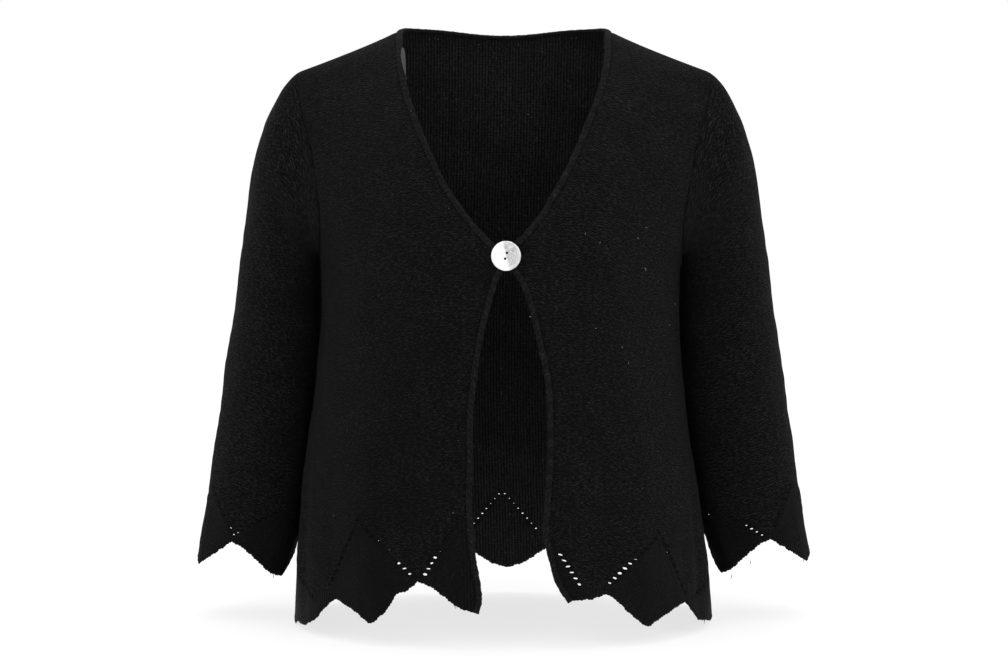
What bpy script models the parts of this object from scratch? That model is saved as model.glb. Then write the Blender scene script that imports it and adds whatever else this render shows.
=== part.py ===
"""A cropped, open knit cardigan, hollow and filled out as if worn, fastened by one large button.

Metres, +Z up, the front faces -Y. The origin is at shoulder level, midway between the two neck points,
where the wearer's shoulders carry the garment. Left and right are the viewer's.

Every panel is drawn flat first, as (around, down): around is the distance along the cloth from the
centre front or centre back line, down is the distance from the shoulder seam. The form below turns that
flat place into a place on the filled-out garment.
"""

import math

import bpy
import numpy as np
from mathutils import Vector
from mathutils.geometry import delaunay_2d_cdt

# ---------------------------------------------------------------- driving sizes
WALL = 0.0022                 # thickness of the knit
SEAM_GAP = 0.0003             # parting between sewn pieces
UNDERARM_PARTING = 0.0010     # and as much more at the underarm, where the seam folds
NECK_HALF_WIDTH = 0.100       # neck point from the centre line
BACK_NECK_DEPTH = 0.074       # how far down the back neckline dips, along the cloth
ARMHOLE_DEPTH = 0.245         # shoulder tip to underarm, down the cloth

EDGING_WIDTH = 0.0060         # rolled knit edging
EDGING_THICKNESS = 0.0042
EDGING_STEP = 0.0090          # distance between the edging's sections

BUTTON_RADIUS = 0.0143
BUTTON_THICKNESS = 0.0024
BUTTON_HOLE_RADIUS = 0.0010
BUTTON_HOLE_APART = 0.0058    # centre to centre
BUTTON_HOLE_LEAN = 18         # degrees that the line of the two holes leans to the right
BUTTON_DOWN = 0.2722          # centre of the button, down the cloth
BUTTON_X = 0.0053             # and to the right of the centre line

LAP = 0.0026                  # behind the button the left front stands out, and the right front in
LAP_AROUND = 0.003            # the middle of that lap, on the cloth
LAP_DOWN = 0.274
LAP_REACH = 0.021

EYELET_HALF_LONG = 0.0023     # an eyelet is a lozenge, longer along its row
EYELET_HALF_SHORT = 0.0020

# ---------------------------------------------------------------- the body's sections
# One row for each level of the body, from the shoulder seam to below the hem.
# down: along the cloth. drop: below the neck points at the centre. tip: extra drop of the sloping
# shoulder at its tip. sag: extra drop at the side. lift: rise of the back neck. half_width, front and
# back: the section's reach to the side, to the front and to the back. sway: its shift to the side.
# blunt: 2 is an ellipse, more is boxier.
SECTION_COLUMNS = ("down", "drop", "tip", "sag", "lift", "half_width", "front", "back", "sway", "blunt")
SECTIONS = (
    # down    drop    tip     sag    lift    width   front   back    sway     blunt
    (0.000,  0.000,  0.047,  0.000, 0.000,  0.2120, 0.000,  0.000,   0.0000,  4.0),
    (0.022,  0.006,  0.0465, 0.000, 0.008,  0.2125, 0.021,  0.021,   0.0000,  3.4),
    (0.045,  0.020,  0.045,  0.001, 0.021,  0.2120, 0.040,  0.038,   0.0000,  3.0),
    (0.075,  0.042,  0.043,  0.002, 0.034,  0.2100, 0.061,  0.057,   0.0000,  2.8),
    (0.115,  0.074,  0.040,  0.004, 0.032,  0.2050, 0.085,  0.076,  -0.0005,  2.6),
    (0.160,  0.113,  0.035,  0.007, 0.022,  0.1970, 0.108,  0.089,  -0.0010,  2.6),
    (0.200,  0.149,  0.029,  0.010, 0.013,  0.1880, 0.125,  0.096,  -0.0020,  2.5),
    (0.238,  0.184,  0.023,  0.013, 0.007,  0.1800, 0.138,  0.101,  -0.0030,  2.4),
    (0.290,  0.235,  0.015,  0.016, 0.002,  0.1775, 0.149,  0.104,  -0.0035,  2.3),
    (0.360,  0.305,  0.008,  0.020, 0.000,  0.1815, 0.152,  0.108,  -0.0045,  2.3),
    (0.440,  0.384,  0.003,  0.026, 0.000,  0.1905, 0.154,  0.119,  -0.0045,  2.3),
    (0.520,  0.463,  0.000,  0.032, 0.000,  0.2020, 0.157,  0.133,  -0.0030,  2.3),
    (0.590,  0.532,  0.000,  0.037, 0.000,  0.2085, 0.161,  0.146,  -0.0010,  2.3),
    (0.660,  0.601,  0.000,  0.042, 0.000,  0.2125, 0.166,  0.158,   0.0000,  2.3),
)
KNOTS = np.array([row[0] for row in SECTIONS])
# The cloth leaves the shoulder seam level, forwards and backwards, so that front and back run on smoothly.
START_SLOPES = {"drop": 0.0, "tip": 0.0, "sag": 0.0, "lift": 0.0, "front": 1.0, "back": 1.0}


def smooth_column(knots, values, start_slope=None):
    """A smooth curve through one column of a table, as a function of the table's first column."""
    values = np.array(values)
    slopes = np.gradient(values, knots)
    if start_slope is not None:
        slopes[0] = start_slope

    def value(at):
        at = np.clip(at, knots[0], knots[-1])
        i = np.clip(np.searchsorted(knots, at, side="right") - 1, 0, len(knots) - 2)
        span = knots[i + 1] - knots[i]
        u = (at - knots[i]) / span
        ease = u * u * (3 - 2 * u)
        return (values[i] * (1 - ease) + values[i + 1] * ease
                + span * u * (1 - u) * ((1 - u) * slopes[i] - u * slopes[i + 1]))

    return value


SECTION = {
    column: smooth_column(KNOTS, [row[n] for row in SECTIONS], START_SLOPES.get(column))
    for n, column in enumerate(SECTION_COLUMNS) if n
}


def unit_section(turn, blunt):
    """A quarter of a blunt circle: (0, 1) at the centre line, where turn is 0, to (1, 0) at the side."""
    across, ahead = np.sin(turn), np.cos(turn)
    norm = (np.abs(across) ** blunt + np.abs(ahead) ** blunt) ** (1 / blunt)
    return across / norm, ahead / norm


# The flat distance around a level, from the centre line, set against the turn round its section.
TURNS = np.linspace(0, math.pi / 2, 91)
LEVELS = np.linspace(0, SECTIONS[-1][0], 133)


def quarter_lengths(depth):
    """For each level, the distance around from the centre line to each of TURNS."""
    across, ahead = unit_section(TURNS[None, :], SECTION["blunt"](LEVELS)[:, None])
    x = SECTION["half_width"](LEVELS)[:, None] * across
    y = SECTION[depth](LEVELS)[:, None] * ahead
    steps = np.hypot(np.diff(x, axis=1), np.diff(y, axis=1))
    return np.concatenate([np.zeros((len(LEVELS), 1)), np.cumsum(steps, axis=1)], axis=1)


LENGTHS = {"front": quarter_lengths("front"), "back": quarter_lengths("back")}


def quarter(depth, down):
    """The flat distance from the centre line to the side line at this level."""
    return np.interp(down, LEVELS, LENGTHS[depth][:, -1])


def turn_at(depth, around, down):
    """The turn round the section of a flat place."""
    table = LENGTHS[depth]
    level = np.clip(down / LEVELS[1], 0, len(LEVELS) - 1.001)
    low = level.astype(int)
    part = level - low
    turns = np.empty_like(around)
    for n in range(len(around)):
        row = table[low[n]] * (1 - part[n]) + table[low[n] + 1] * part[n]
        turns[n] = np.interp(abs(around[n]), row, TURNS)
        if abs(around[n]) > row[-1]:
            turns[n] += (abs(around[n]) - row[-1]) / (row[-1] - row[-2]) * TURNS[1]
    return turns


def body_point(depth, around, down):
    """The middle of the wall at flat places of the front or the back; around is negative at the left."""
    around = np.asarray(around, dtype=float)
    down = np.asarray(down, dtype=float)
    turn = turn_at(depth, around, down)
    at = {column: curve(down) for column, curve in SECTION.items()}
    across, ahead = unit_section(turn, at["blunt"])
    side = np.sign(around)
    x = side * at["half_width"] * across
    reach = at[depth] * ahead
    beyond_neck = (np.abs(x) - NECK_HALF_WIDTH) / (at["half_width"] - NECK_HALF_WIDTH)
    slope = 0.5 * (beyond_neck + np.sqrt(beyond_neck ** 2 + 0.002))
    z = -at["drop"] - at["tip"] * slope ** 0.86 - at["sag"] * across ** 2
    if depth == "back":
        z = z + at["lift"] * ahead / (1 + (np.abs(x) / 0.115) ** 6)
    y = reach if depth == "back" else -reach
    return np.stack([x + at["sway"], y, z], axis=-1)


# ---------------------------------------------------------------- cut edges of the panels
# The armhole, by its turn from the shoulder tip (0 degrees) to the underarm (180 degrees): how far down
# it is, and how far the front and the back are cut in from the side line.
ARMHOLE = (
    # turn  down   front   back
    (0,    0.000, 0.0064, 0.0064),
    (15,   0.014, 0.0115, 0.0105),
    (30,   0.028, 0.0165, 0.0145),
    (45,   0.043, 0.0220, 0.0190),
    (60,   0.062, 0.0290, 0.0245),
    (75,   0.090, 0.0400, 0.0330),
    (90,   0.122, 0.0505, 0.0415),
    (105,  0.150, 0.0565, 0.0465),
    (120,  0.176, 0.0595, 0.0490),
    (135,  0.200, 0.0560, 0.0465),
    (150,  0.221, 0.0440, 0.0370),
    (165,  0.238, 0.0240, 0.0205),
    (180,  ARMHOLE_DEPTH, 0.0, 0.0),
)
ARMHOLE_STEP = 15             # degrees between the points of the armhole seam

# The finished front edges, from the neck point down to the hem corner: (down, distance from the centre
# front, counted towards the panel's own side). Each edge passes the centre where the button holds it.
LEFT_EDGE = (
    (0.000, 0.1000), (0.034, 0.1000), (0.082, 0.0957), (0.106, 0.0905), (0.139, 0.0797), (0.167, 0.0682),
    (0.199, 0.0532), (0.221, 0.0390), (0.243, 0.0222), (0.257, 0.0092), (0.263, 0.0030), (0.268, -0.0020),
    (0.273, -0.0050), (0.278, -0.0055), (0.284, -0.0035), (0.290, 0.0003), (0.300, 0.0035), (0.312, 0.0067),
    (0.346, 0.0148), (0.382, 0.0204), (0.428, 0.0249), (0.470, 0.0256), (0.512, 0.0272), (0.542, 0.0263),
    (0.573, 0.0238), (0.593, 0.0208), (0.606, 0.0202), (0.6175, 0.0240),
)
RIGHT_EDGE = (
    (0.000, 0.1000), (0.026, 0.0992), (0.070, 0.0965), (0.104, 0.0894), (0.137, 0.0783), (0.177, 0.0632),
    (0.211, 0.0468), (0.237, 0.0320), (0.248, 0.0228), (0.257, 0.0150), (0.264, 0.0078), (0.269, 0.0030),
    (0.273, 0.0012), (0.277, 0.0020), (0.282, 0.0058), (0.287, 0.0110), (0.294, 0.0165), (0.318, 0.0267),
    (0.356, 0.0363), (0.388, 0.0435), (0.426, 0.0457), (0.452, 0.0459), (0.512, 0.0418), (0.540, 0.0396),
    (0.559, 0.0436), (0.587, 0.0508), (0.605, 0.0622),
)

# The zigzag hem, from the front edge's lower end to the side seam: (feature, around, down).
LEFT_HEM = (
    ("slope", 0.0452, 0.6092), ("slope", 0.0541, 0.6005),
    ("slope", 0.0680, 0.5885), ("valley", 0.0835, 0.5815), ("shelf", 0.0905, 0.5880),
    ("shelf", 0.0975, 0.5910), ("shelf", 0.1045, 0.5912), ("slope", 0.1155, 0.6078),
    ("point", 0.1315, 0.6180), ("slope", 0.1518, 0.6018), ("valley", 0.1765, 0.5885),
    ("slope", 0.1889, 0.5955), ("slope", 0.2047, 0.6060), ("point", 0.2308, 0.6125),
    ("notch", 0.2540, 0.6090), ("point", 0.2780, 0.6150),
)
RIGHT_HEM = (
    ("slope", 0.0855, 0.5990), ("valley", 0.1010, 0.5918),
    ("slope", 0.1118, 0.5970), ("slope", 0.1266, 0.6095), ("point", 0.1430, 0.6195),
    ("slope", 0.1612, 0.6080), ("slope", 0.1816, 0.5970), ("valley", 0.1985, 0.5900),
    ("slope", 0.2080, 0.5985), ("point", 0.2230, 0.6075), ("slope", 0.2480, 0.6080),
    ("point", 0.2760, 0.6110),
)
BACK_HEM_SHIFT = 0.0035       # the back hem hangs this far to the right
BACK_HEM = (
    ("point", 0.0040, 0.6268), ("slope", 0.0180, 0.6215), ("slope", 0.0350, 0.6085),
    ("valley", 0.0520, 0.5955), ("slope", 0.0700, 0.6045), ("point", 0.0980, 0.6185),
    ("slope", 0.1165, 0.6070), ("slope", 0.1300, 0.5995), ("valley", 0.1430, 0.5940),
    ("slope", 0.1700, 0.6035), ("point", 0.2100, 0.6160), ("slope", 0.2500, 0.6130),
)
SEAM_HEM_DOWN = 0.6135        # where the hem meets the side seam

# The openwork: rows of eyelets, each from near a valley up to the tip of a diamond: (around, down) twice,
# the number of steps between them, and 1 where the tip has an eyelet of its own that this row carries.
LEFT_EYELETS = (
    (0.0750, 0.5758, 0.0400, 0.5240, 10, 0),
    (0.0905, 0.5740, 0.1415, 0.5165, 10, 1),
    (0.1800, 0.5740, 0.1450, 0.5230, 9, 0),
    (0.2085, 0.5850, 0.2860, 0.5440, 12, 0),
)
RIGHT_EYELETS = (
    (0.0737, 0.5855, 0.0490, 0.5470, 7, 0),
    (0.1048, 0.5813, 0.1595, 0.5285, 10, 1),
    (0.1965, 0.5815, 0.1640, 0.5330, 8, 0),
    (0.2180, 0.5845, 0.2920, 0.5480, 12, 0),
)
BACK_EYELETS = (
    (0.0350, 0.5825, 0.0030, 0.5458, 7, 1),
    (0.0590, 0.5860, 0.1000, 0.5330, 10, 1),
    (0.1380, 0.5835, 0.1040, 0.5385, 8, 0),
    (0.1560, 0.5850, 0.2780, 0.5450, 18, 0),
)
EYELET_MARGIN = 0.0060        # an eyelet nearer than this to a cut edge is left out

# The sleeve, from the armhole to below the cuff. along: down its middle. outer and inner: the ends of
# each section, away from the body and next to it. half_depth: half its reach front to back.
# inner_back: how far the inner end lies further back, behind the side of the body.
SLEEVE_COLUMNS = ("along", "outer_x", "outer_z", "inner_x", "inner_z", "centre_y", "half_depth", "blunt",
                  "inner_back")
SLEEVE_SECTIONS = (
    # along   outer            inner            centre  half    blunt  inner_back
    (0.000,  0.2062, -0.0445,  0.1797, -0.2262, -0.006, 0.0535, 2.0, 0.000),
    (0.012,  0.2180, -0.0570,  0.1824, -0.2272, -0.004, 0.0535, 2.1, 0.001),
    (0.032,  0.2333, -0.0850,  0.1830, -0.2305,  0.000, 0.0530, 2.1, 0.005),
    (0.054,  0.2438, -0.1150,  0.1818, -0.2385,  0.005, 0.0525, 2.2, 0.010),
    (0.078,  0.2523, -0.1480,  0.1804, -0.2500,  0.011, 0.0525, 2.2, 0.013),
    (0.105,  0.2584, -0.1900,  0.1797, -0.2660,  0.017, 0.0525, 2.2, 0.013),
    (0.146,  0.2656, -0.2400,  0.1797, -0.2960,  0.024, 0.0530, 2.2, 0.008),
    (0.194,  0.2732, -0.2910,  0.1830, -0.3360,  0.029, 0.0530, 2.2, 0.003),
    (0.242,  0.2814, -0.3410,  0.1876, -0.3810,  0.032, 0.0530, 2.2, 0.000),
    (0.290,  0.2885, -0.3910,  0.1936, -0.4260,  0.034, 0.0525, 2.2, 0.000),
    (0.337,  0.2954, -0.4400,  0.1995, -0.4700,  0.034, 0.0520, 2.2, 0.000),
    (0.380,  0.3023, -0.4850,  0.2075, -0.5100,  0.034, 0.0510, 2.1, 0.000),
    (0.4205, 0.3101, -0.5280,  0.2180, -0.5470,  0.032, 0.0500, 2.1, 0.000),
    (0.460,  0.3171, -0.5680,  0.2275, -0.5850,  0.031, 0.0490, 2.1, 0.000),
)
SLEEVE_BLEND = 0.054          # the length over which the sleeve leaves the armhole's own line
SLEEVE_FLAT_RADIUS = 0.050    # turns a sleeve's degrees into flat distance

# The cuffs' zigzags and the rows of their eyelets, by degrees round from the outer line over the front.
LEFT_CUFF = (
    # feature  turn  along
    ("point",  24,   0.4330),
    ("slope",  48,   0.4188),
    ("valley", 71,   0.3997),
    ("slope",  88,   0.4020),
    ("slope",  112,  0.4145),
    ("point",  129,  0.4240),
    ("point",  150,  0.4272),
    ("slope",  163,  0.4185),
    ("slope",  176,  0.4060),
    ("valley", 190,  0.3960),
    ("slope",  216,  0.4100),
    ("point",  242,  0.4240),
    ("slope",  270,  0.4110),
    ("valley", 297,  0.3985),
    ("slope",  318,  0.4070),
    ("slope",  342,  0.4190),
)
RIGHT_CUFF = (
    # feature  turn  along
    ("point",  30,   0.4286),
    ("slope",  54,   0.4138),
    ("valley", 76,   0.3962),
    ("slope",  91,   0.3975),
    ("slope",  118,  0.4105),
    ("point",  135,  0.4198),
    ("point",  157,  0.4242),
    ("slope",  169,  0.4160),
    ("slope",  182,  0.4035),
    ("valley", 196,  0.3935),
    ("slope",  212,  0.4010),
    ("point",  230,  0.4085),
    ("slope",  248,  0.4000),
    ("valley", 264,  0.3925),
    ("slope",  284,  0.4010),
    ("point",  312,  0.4130),
    ("shelf",  340,  0.4110),
)
LEFT_CUFF_EYELETS = (
    # from turn, along    to turn, along   steps, tip
    (73,  0.3925,         34,  0.3560,     7, 1),
    (78,  0.3895,         126, 0.3545,     8, 1),
    (183, 0.3840,         132, 0.3600,     7, 0),
    (197, 0.3840,         242, 0.3570,     7, 1),
    (288, 0.3860,         248, 0.3600,     6, 0),
    (306, 0.3880,         386, 0.3600,     11, 0),
)
RIGHT_CUFF_EYELETS = (
    # from turn, along    to turn, along   steps, tip
    (71,  0.3855,         40,  0.3518,     6, 1),
    (86,  0.3902,         132, 0.3508,     9, 1),
    (188, 0.3800,         138, 0.3558,     7, 0),
    (204, 0.3800,         230, 0.3600,     4, 1),
    (254, 0.3790,         235, 0.3640,     3, 0),
    (276, 0.3840,         312, 0.3560,     6, 1),
    (340, 0.3900,         318, 0.3620,     5, 0),
    (352, 0.3900,         386, 0.3600,     6, 0),
)
CUFF = {-1: LEFT_CUFF, 1: RIGHT_CUFF}
CUFF_EYELETS = {-1: LEFT_CUFF_EYELETS, 1: RIGHT_CUFF_EYELETS}

# ---------------------------------------------------------------- meshing
SQUARE = "square"             # at a seam between front and back, the wall's end leans neither way
BODY_GRID = (0.027, 0.040)    # spacing of the points inside a panel, around and down
SLEEVE_GRID = (0.020, 0.044)


def offset_loop(points, amount):
    """A closed flat outline, running counter-clockwise, with every side moved inwards."""
    points = np.asarray(points)
    before = points - np.roll(points, 1, axis=0)
    after = np.roll(points, -1, axis=0) - points
    before /= np.linalg.norm(before, axis=1)[:, None]
    after /= np.linalg.norm(after, axis=1)[:, None]
    inward = np.stack([-(before + after)[:, 1], (before + after)[:, 0]], axis=1)
    inward /= np.linalg.norm(inward, axis=1)[:, None]
    square = np.stack([-after[:, 1], after[:, 0]], axis=1)
    cosine = np.maximum((inward * square).sum(axis=1), 0.5)
    return points + inward * (amount / cosine)[:, None]


def counter_clockwise(points):
    x, y = np.asarray(points).T
    return (x * np.roll(y, -1) - np.roll(x, -1) * y).sum() > 0


def inside(outline, points):
    """Whether each flat point lies inside a closed outline."""
    x, y = points[:, 0][:, None], points[:, 1][:, None]
    x0, y0 = outline[:, 0][None, :], outline[:, 1][None, :]
    x1, y1 = np.roll(x0, -1, axis=1), np.roll(y0, -1, axis=1)
    crosses = (y0 > y) != (y1 > y)
    reach = x0 + (y - y0) * (x1 - x0) / np.where(y1 == y0, 1e-12, y1 - y0)
    return (crosses & (x < reach)).sum(axis=1) % 2 == 1


def distance_to_loop(outline, points):
    """How far each flat point is from a closed outline."""
    start, end = outline, np.roll(outline, -1, axis=0)
    run = end - start
    along = ((points[:, None] - start) * run).sum(axis=2) / (run ** 2).sum(axis=1)
    nearest = start + np.clip(along, 0, 1)[:, :, None] * run
    return np.linalg.norm(points[:, None] - nearest, axis=2).min(axis=1)


def lozenge(centre, heading):
    """The four corners of an eyelet that is longer along its row."""
    along = np.array(heading) / np.linalg.norm(heading)
    across = np.array([-along[1], along[0]])
    return [centre + along * EYELET_HALF_LONG, centre + across * EYELET_HALF_SHORT,
            centre - along * EYELET_HALF_LONG, centre - across * EYELET_HALF_SHORT]


def eyelets_in(rows, outline):
    """The lozenges of every row whose centres are clear of the outline."""
    holes = []
    for start, end, steps, tip in rows:
        start, end = np.array(start), np.array(end)
        heading = end - start
        for n in range(steps + tip):
            centre = start + heading * (n / steps)
            near = centre[None, :]
            if inside(outline, near)[0] and distance_to_loop(outline, near)[0] > EYELET_MARGIN:
                holes.append(lozenge(centre, heading))
    return holes


def triangles_of(outline, holes, grid):
    """Triangles over a flat outline with holes, and the flat points that they use."""
    low, high = outline.min(axis=0), outline.max(axis=0)
    columns = np.arange(low[0] + grid[0] / 2, high[0], grid[0])
    rows = np.arange(low[1] + grid[1] / 2, high[1], grid[1])
    inner = np.array([(x + (n % 2 - 0.5) * grid[0] / 2, y) for n, y in enumerate(rows) for x in columns])
    stretch = np.array([1, grid[0] / grid[1]])
    keep = inside(outline, inner) & (distance_to_loop(outline * stretch, inner * stretch) > grid[0] * 0.4)
    inner = inner[keep]
    corners = [corner for hole in holes for corner in hole]
    if corners:
        apart = np.linalg.norm((inner[:, None] - np.array(corners)) * stretch, axis=2).min(axis=1)
        inner = inner[apart > grid[0] * 0.35]
    flat = np.vstack([outline, np.array(corners).reshape(-1, 2), inner])
    loops = [range(len(outline))]
    loops += [range(first, first + 4) for first in range(len(outline), len(outline) + len(corners), 4)]
    edges = [(loop[n], loop[(n + 1) % len(loop)]) for loop in loops for n in range(len(loop))]
    scaled = [Vector(point) for point in flat * stretch * 1000]
    points, _, faces, origins = delaunay_2d_cdt(scaled, edges, [], 0, 1e-5, True)[:4]
    index = [origin[0] for origin in origins]
    faces = np.array([[index[corner] for corner in face] for face in faces])
    hole_of = np.full(len(flat), -1)
    hole_of[len(outline):len(outline) + len(corners)] = np.arange(len(corners)) // 4
    in_hole = (hole_of[faces] == hole_of[faces[:, :1]]).all(axis=1) & (hole_of[faces[:, 0]] >= 0)
    centres = flat[faces].mean(axis=1)
    return flat, faces[inside(outline, centres) & ~in_hole]


def surface_of(point_at, flat, facing):
    """The middle points and outward normals of a wall at its flat places."""
    step = 0.0012
    around, down = flat[:, 0], flat[:, 1]
    middle = point_at(around, down)
    side = point_at(around + step, down) - point_at(around - step, down)
    fall = point_at(around, down + step) - point_at(around, np.maximum(down - step, 0))
    normal = np.cross(side, fall) * facing
    return middle, normal / np.linalg.norm(normal, axis=1)[:, None]


def wall(name, outline, holes, grid, point_at, facing, apart, material, seam_directions):
    """One panel: a wall over a flat outline, with its holes cut through.

    apart moves it forwards or backwards off the seam that parts front and back. seam_directions has one
    entry for each outline point: None, SQUARE or the way in which the wall has its thickness there.
    """
    if not counter_clockwise(outline):
        outline = outline[::-1]
        seam_directions = seam_directions[::-1]
    outline = offset_loop(outline, SEAM_GAP / 2)
    flat, faces = triangles_of(outline, holes, grid)
    middle, normal = surface_of(point_at, flat, facing)
    for n, given in enumerate(seam_directions):
        if given is SQUARE:
            normal[n, 1] = 0
            normal[n] /= np.linalg.norm(normal[n])
        elif given is not None:
            normal[n] = given
    points = np.vstack([middle + normal * WALL / 2, middle - normal * WALL / 2])
    points[:, 1] += apart
    corners = points[faces]
    turned = np.cross(corners[:, 1] - corners[:, 0], corners[:, 2] - corners[:, 0])
    backwards = (turned * normal[faces].sum(axis=1)).sum(axis=1) < 0
    faces[backwards] = faces[backwards][:, ::-1]
    count = len(flat)
    sides = {(face[n], face[(n + 1) % 3]) for face in faces.tolist() for n in range(3)}
    rim = [(a, b) for a, b in sides if (b, a) not in sides]
    polygons = faces.tolist()
    polygons += [[c + count, b + count, a + count] for a, b, c in faces.tolist()]
    for a, b in rim:
        # Each side of the rim is split the same way on both panels of a seam, so that they lie flat together.
        if points[a, 2] > points[b, 2]:
            polygons += [[b, a, a + count], [b, a + count, b + count]]
        else:
            polygons += [[b, a, b + count], [a, a + count, b + count]]
    used = sorted({corner for polygon in polygons for corner in polygon})
    renumber = {old: new for new, old in enumerate(used)}
    return add_object(name, points[used], [[renumber[c] for c in p] for p in polygons], material)


def add_object(name, points, polygons, material):
    mesh = bpy.data.meshes.new(name)
    mesh.from_pydata([tuple(map(float, point)) for point in points], [], polygons)
    mesh.materials.append(material)
    mesh.validate()
    mesh.shade_smooth()
    mesh.set_sharp_from_angle(angle=math.radians(35))
    obj = bpy.data.objects.new(name, mesh)
    bpy.context.scene.collection.objects.link(obj)
    return obj


# ---------------------------------------------------------------- the armhole seam
ARMHOLE_TURNS = np.array([row[0] for row in ARMHOLE], dtype=float)
ARMHOLE_DOWN = smooth_column(ARMHOLE_TURNS, [row[1] for row in ARMHOLE])
ARMHOLE_CUT = {
    "front": smooth_column(ARMHOLE_TURNS, [row[2] for row in ARMHOLE]),
    "back": smooth_column(ARMHOLE_TURNS, [row[3] for row in ARMHOLE]),
}


def armhole_flat(depth, degrees):
    """The flat place of the armhole seam, unsigned, at these degrees from the shoulder tip."""
    down = ARMHOLE_DOWN(degrees)
    return quarter(depth, down) - ARMHOLE_CUT[depth](degrees), down


def armhole_point(side, depth, degrees):
    around, down = armhole_flat(depth, degrees)
    return body_point(depth, side * around, down)


# ---------------------------------------------------------------- the sleeves' form
SLEEVE_KNOTS = np.array([row[0] for row in SLEEVE_SECTIONS])
SLEEVE = {
    column: smooth_column(SLEEVE_KNOTS, [row[n] for row in SLEEVE_SECTIONS])
    for n, column in enumerate(SLEEVE_COLUMNS) if n
}


def sleeve_ring(side, degrees, along):
    """A place on the plain tube; degrees run from the outer line over the front to the inner line."""
    at = {column: curve(along) for column, curve in SLEEVE.items()}
    turn = np.radians(degrees)
    outward, ahead = np.cos(turn), np.sin(turn)
    norm = (np.abs(outward) ** at["blunt"] + np.abs(ahead) ** at["blunt"]) ** (1 / at["blunt"])
    outward, ahead = outward / norm, ahead / norm
    sway = SECTION["sway"](np.maximum(0.04 - at["inner_z"], 0)) * side
    inner_x = at["inner_x"] + sway
    x = (at["outer_x"] + inner_x) / 2 + outward * (at["outer_x"] - inner_x) / 2
    z = (at["outer_z"] + at["inner_z"]) / 2 + outward * (at["outer_z"] - at["inner_z"]) / 2
    y = at["centre_y"] - ahead * at["half_depth"] + at["inner_back"] * (1 - outward) / 2
    return np.stack([side * x, y, z], axis=-1)


def sleeve_point(side, around, along):
    """The middle of the sleeve's wall; around is the flat distance from its outer line over the front."""
    degrees = np.degrees(np.asarray(around) / SLEEVE_FLAT_RADIUS)
    along = np.asarray(along, dtype=float)
    turn = np.abs((degrees + 180) % 360 - 180)
    front = (degrees + 180) % 360 >= 180
    seam = np.where(front[:, None], armhole_point(side, "front", turn), armhole_point(side, "back", turn))
    part = np.clip(1 - along / SLEEVE_BLEND, 0, 1)
    part = (part * part * (3 - 2 * part))[:, None]
    return sleeve_ring(side, degrees, along) + part * (seam - sleeve_ring(side, degrees, along * 0))


# ---------------------------------------------------------------- seams shared by neighbouring pieces
SHOULDER_POINTS = 6
SEAM_STEP = 0.036
UNDERARM_ROWS = (0.009, 0.020)        # closer rows on the sleeve, where it turns away from the body
ARMHOLE_DEGREES = np.arange(0, 181, ARMHOLE_STEP)


def shoulder_seam():
    """Distances from the centre line, from the neck edge to the shoulder tip."""
    return np.linspace(NECK_HALF_WIDTH + EDGING_WIDTH + SEAM_GAP / 2, quarter("front", 0.0), SHOULDER_POINTS)


def side_seam():
    """Levels of the side seam, from the underarm to the hem."""
    return np.linspace(ARMHOLE_DEPTH, SEAM_HEM_DOWN, round((SEAM_HEM_DOWN - ARMHOLE_DEPTH) / SEAM_STEP) + 1)


def smooth_path(rows, step):
    """Places evenly spaced, about a step apart, on a smooth line through the rows."""
    rows = np.array(rows)
    run = np.concatenate([[0], np.cumsum(np.linalg.norm(np.diff(rows, axis=0), axis=1))])
    at = np.linspace(0, run[-1], round(run[-1] / step) + 1)
    return np.stack([smooth_column(run, rows[:, n])(at) for n in (0, 1)], axis=1)


def inset_path(path, amount, side):
    """The path moved sideways across the cloth, towards the piece that lies on this side of it."""
    run = np.gradient(path, axis=0)
    across = np.stack([run[:, 1], -run[:, 0]], axis=1) * side
    return path + across / np.linalg.norm(across, axis=1)[:, None] * amount


def front_edge(side):
    """The finished edge of a front, from the shoulder seam down to the hem."""
    rows = RIGHT_EDGE if side > 0 else LEFT_EDGE
    path = smooth_path([(side * around, down) for down, around in rows], EDGING_STEP)
    path[0, 1] += SEAM_GAP / 2
    return path


def back_neck_edge():
    """The finished edge of the back neckline, from the left shoulder seam to the right one."""
    turn = np.linspace(-math.pi, 0, 25)
    path = np.stack([NECK_HALF_WIDTH * np.cos(turn), -BACK_NECK_DEPTH * np.sin(turn)], axis=1)
    path[[0, -1], 1] += SEAM_GAP / 2
    return path


# ---------------------------------------------------------------- the surfaces of the pieces
def front_surface(side):
    """The form of one front; behind the button the two fronts lap, the left one outside."""
    def point_at(around, down):
        points = body_point("front", around, down)
        near = np.exp(-((around - LAP_AROUND) / LAP_REACH) ** 2 - ((down - LAP_DOWN) / LAP_REACH) ** 4)
        points[:, 1] += side * LAP * near
        return points
    return point_at


def back_surface(around, down):
    return body_point("back", around, down)


def seam_direction(side, depth, degrees):
    """The way both walls are given their thickness at the armhole seam, so that their ends meet."""
    degrees = np.array([float(degrees)])
    around, down = armhole_flat(depth, degrees)
    facing = 1 if depth == "back" else -1
    place = np.stack([side * (around - 0.004), down], axis=1)
    panel = surface_of(lambda a, d: body_point(depth, a, d), place, facing)[1][0]
    round_flat = math.radians(degrees[0] if depth == "front" else -degrees[0]) * SLEEVE_FLAT_RADIUS
    place = np.array([[round_flat, 0.006]])
    sleeve = surface_of(lambda a, d: sleeve_point(side, a, d), place, side)[1][0]
    both = panel + sleeve
    if degrees[0] in (0, 180):
        both[1] = 0
    return both / max(float(both @ both) / 2, 0.5)


# ---------------------------------------------------------------- the pieces
KNIT = {"colour": (0.0075, 0.0078, 0.0085), "roughness": 0.95, "metallic": 0.0}
RIB = {"colour": (0.0095, 0.0098, 0.0105), "roughness": 0.95, "metallic": 0.0}
SILVER = {"colour": (0.72, 0.72, 0.73), "roughness": 0.28, "metallic": 1.0}


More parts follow.
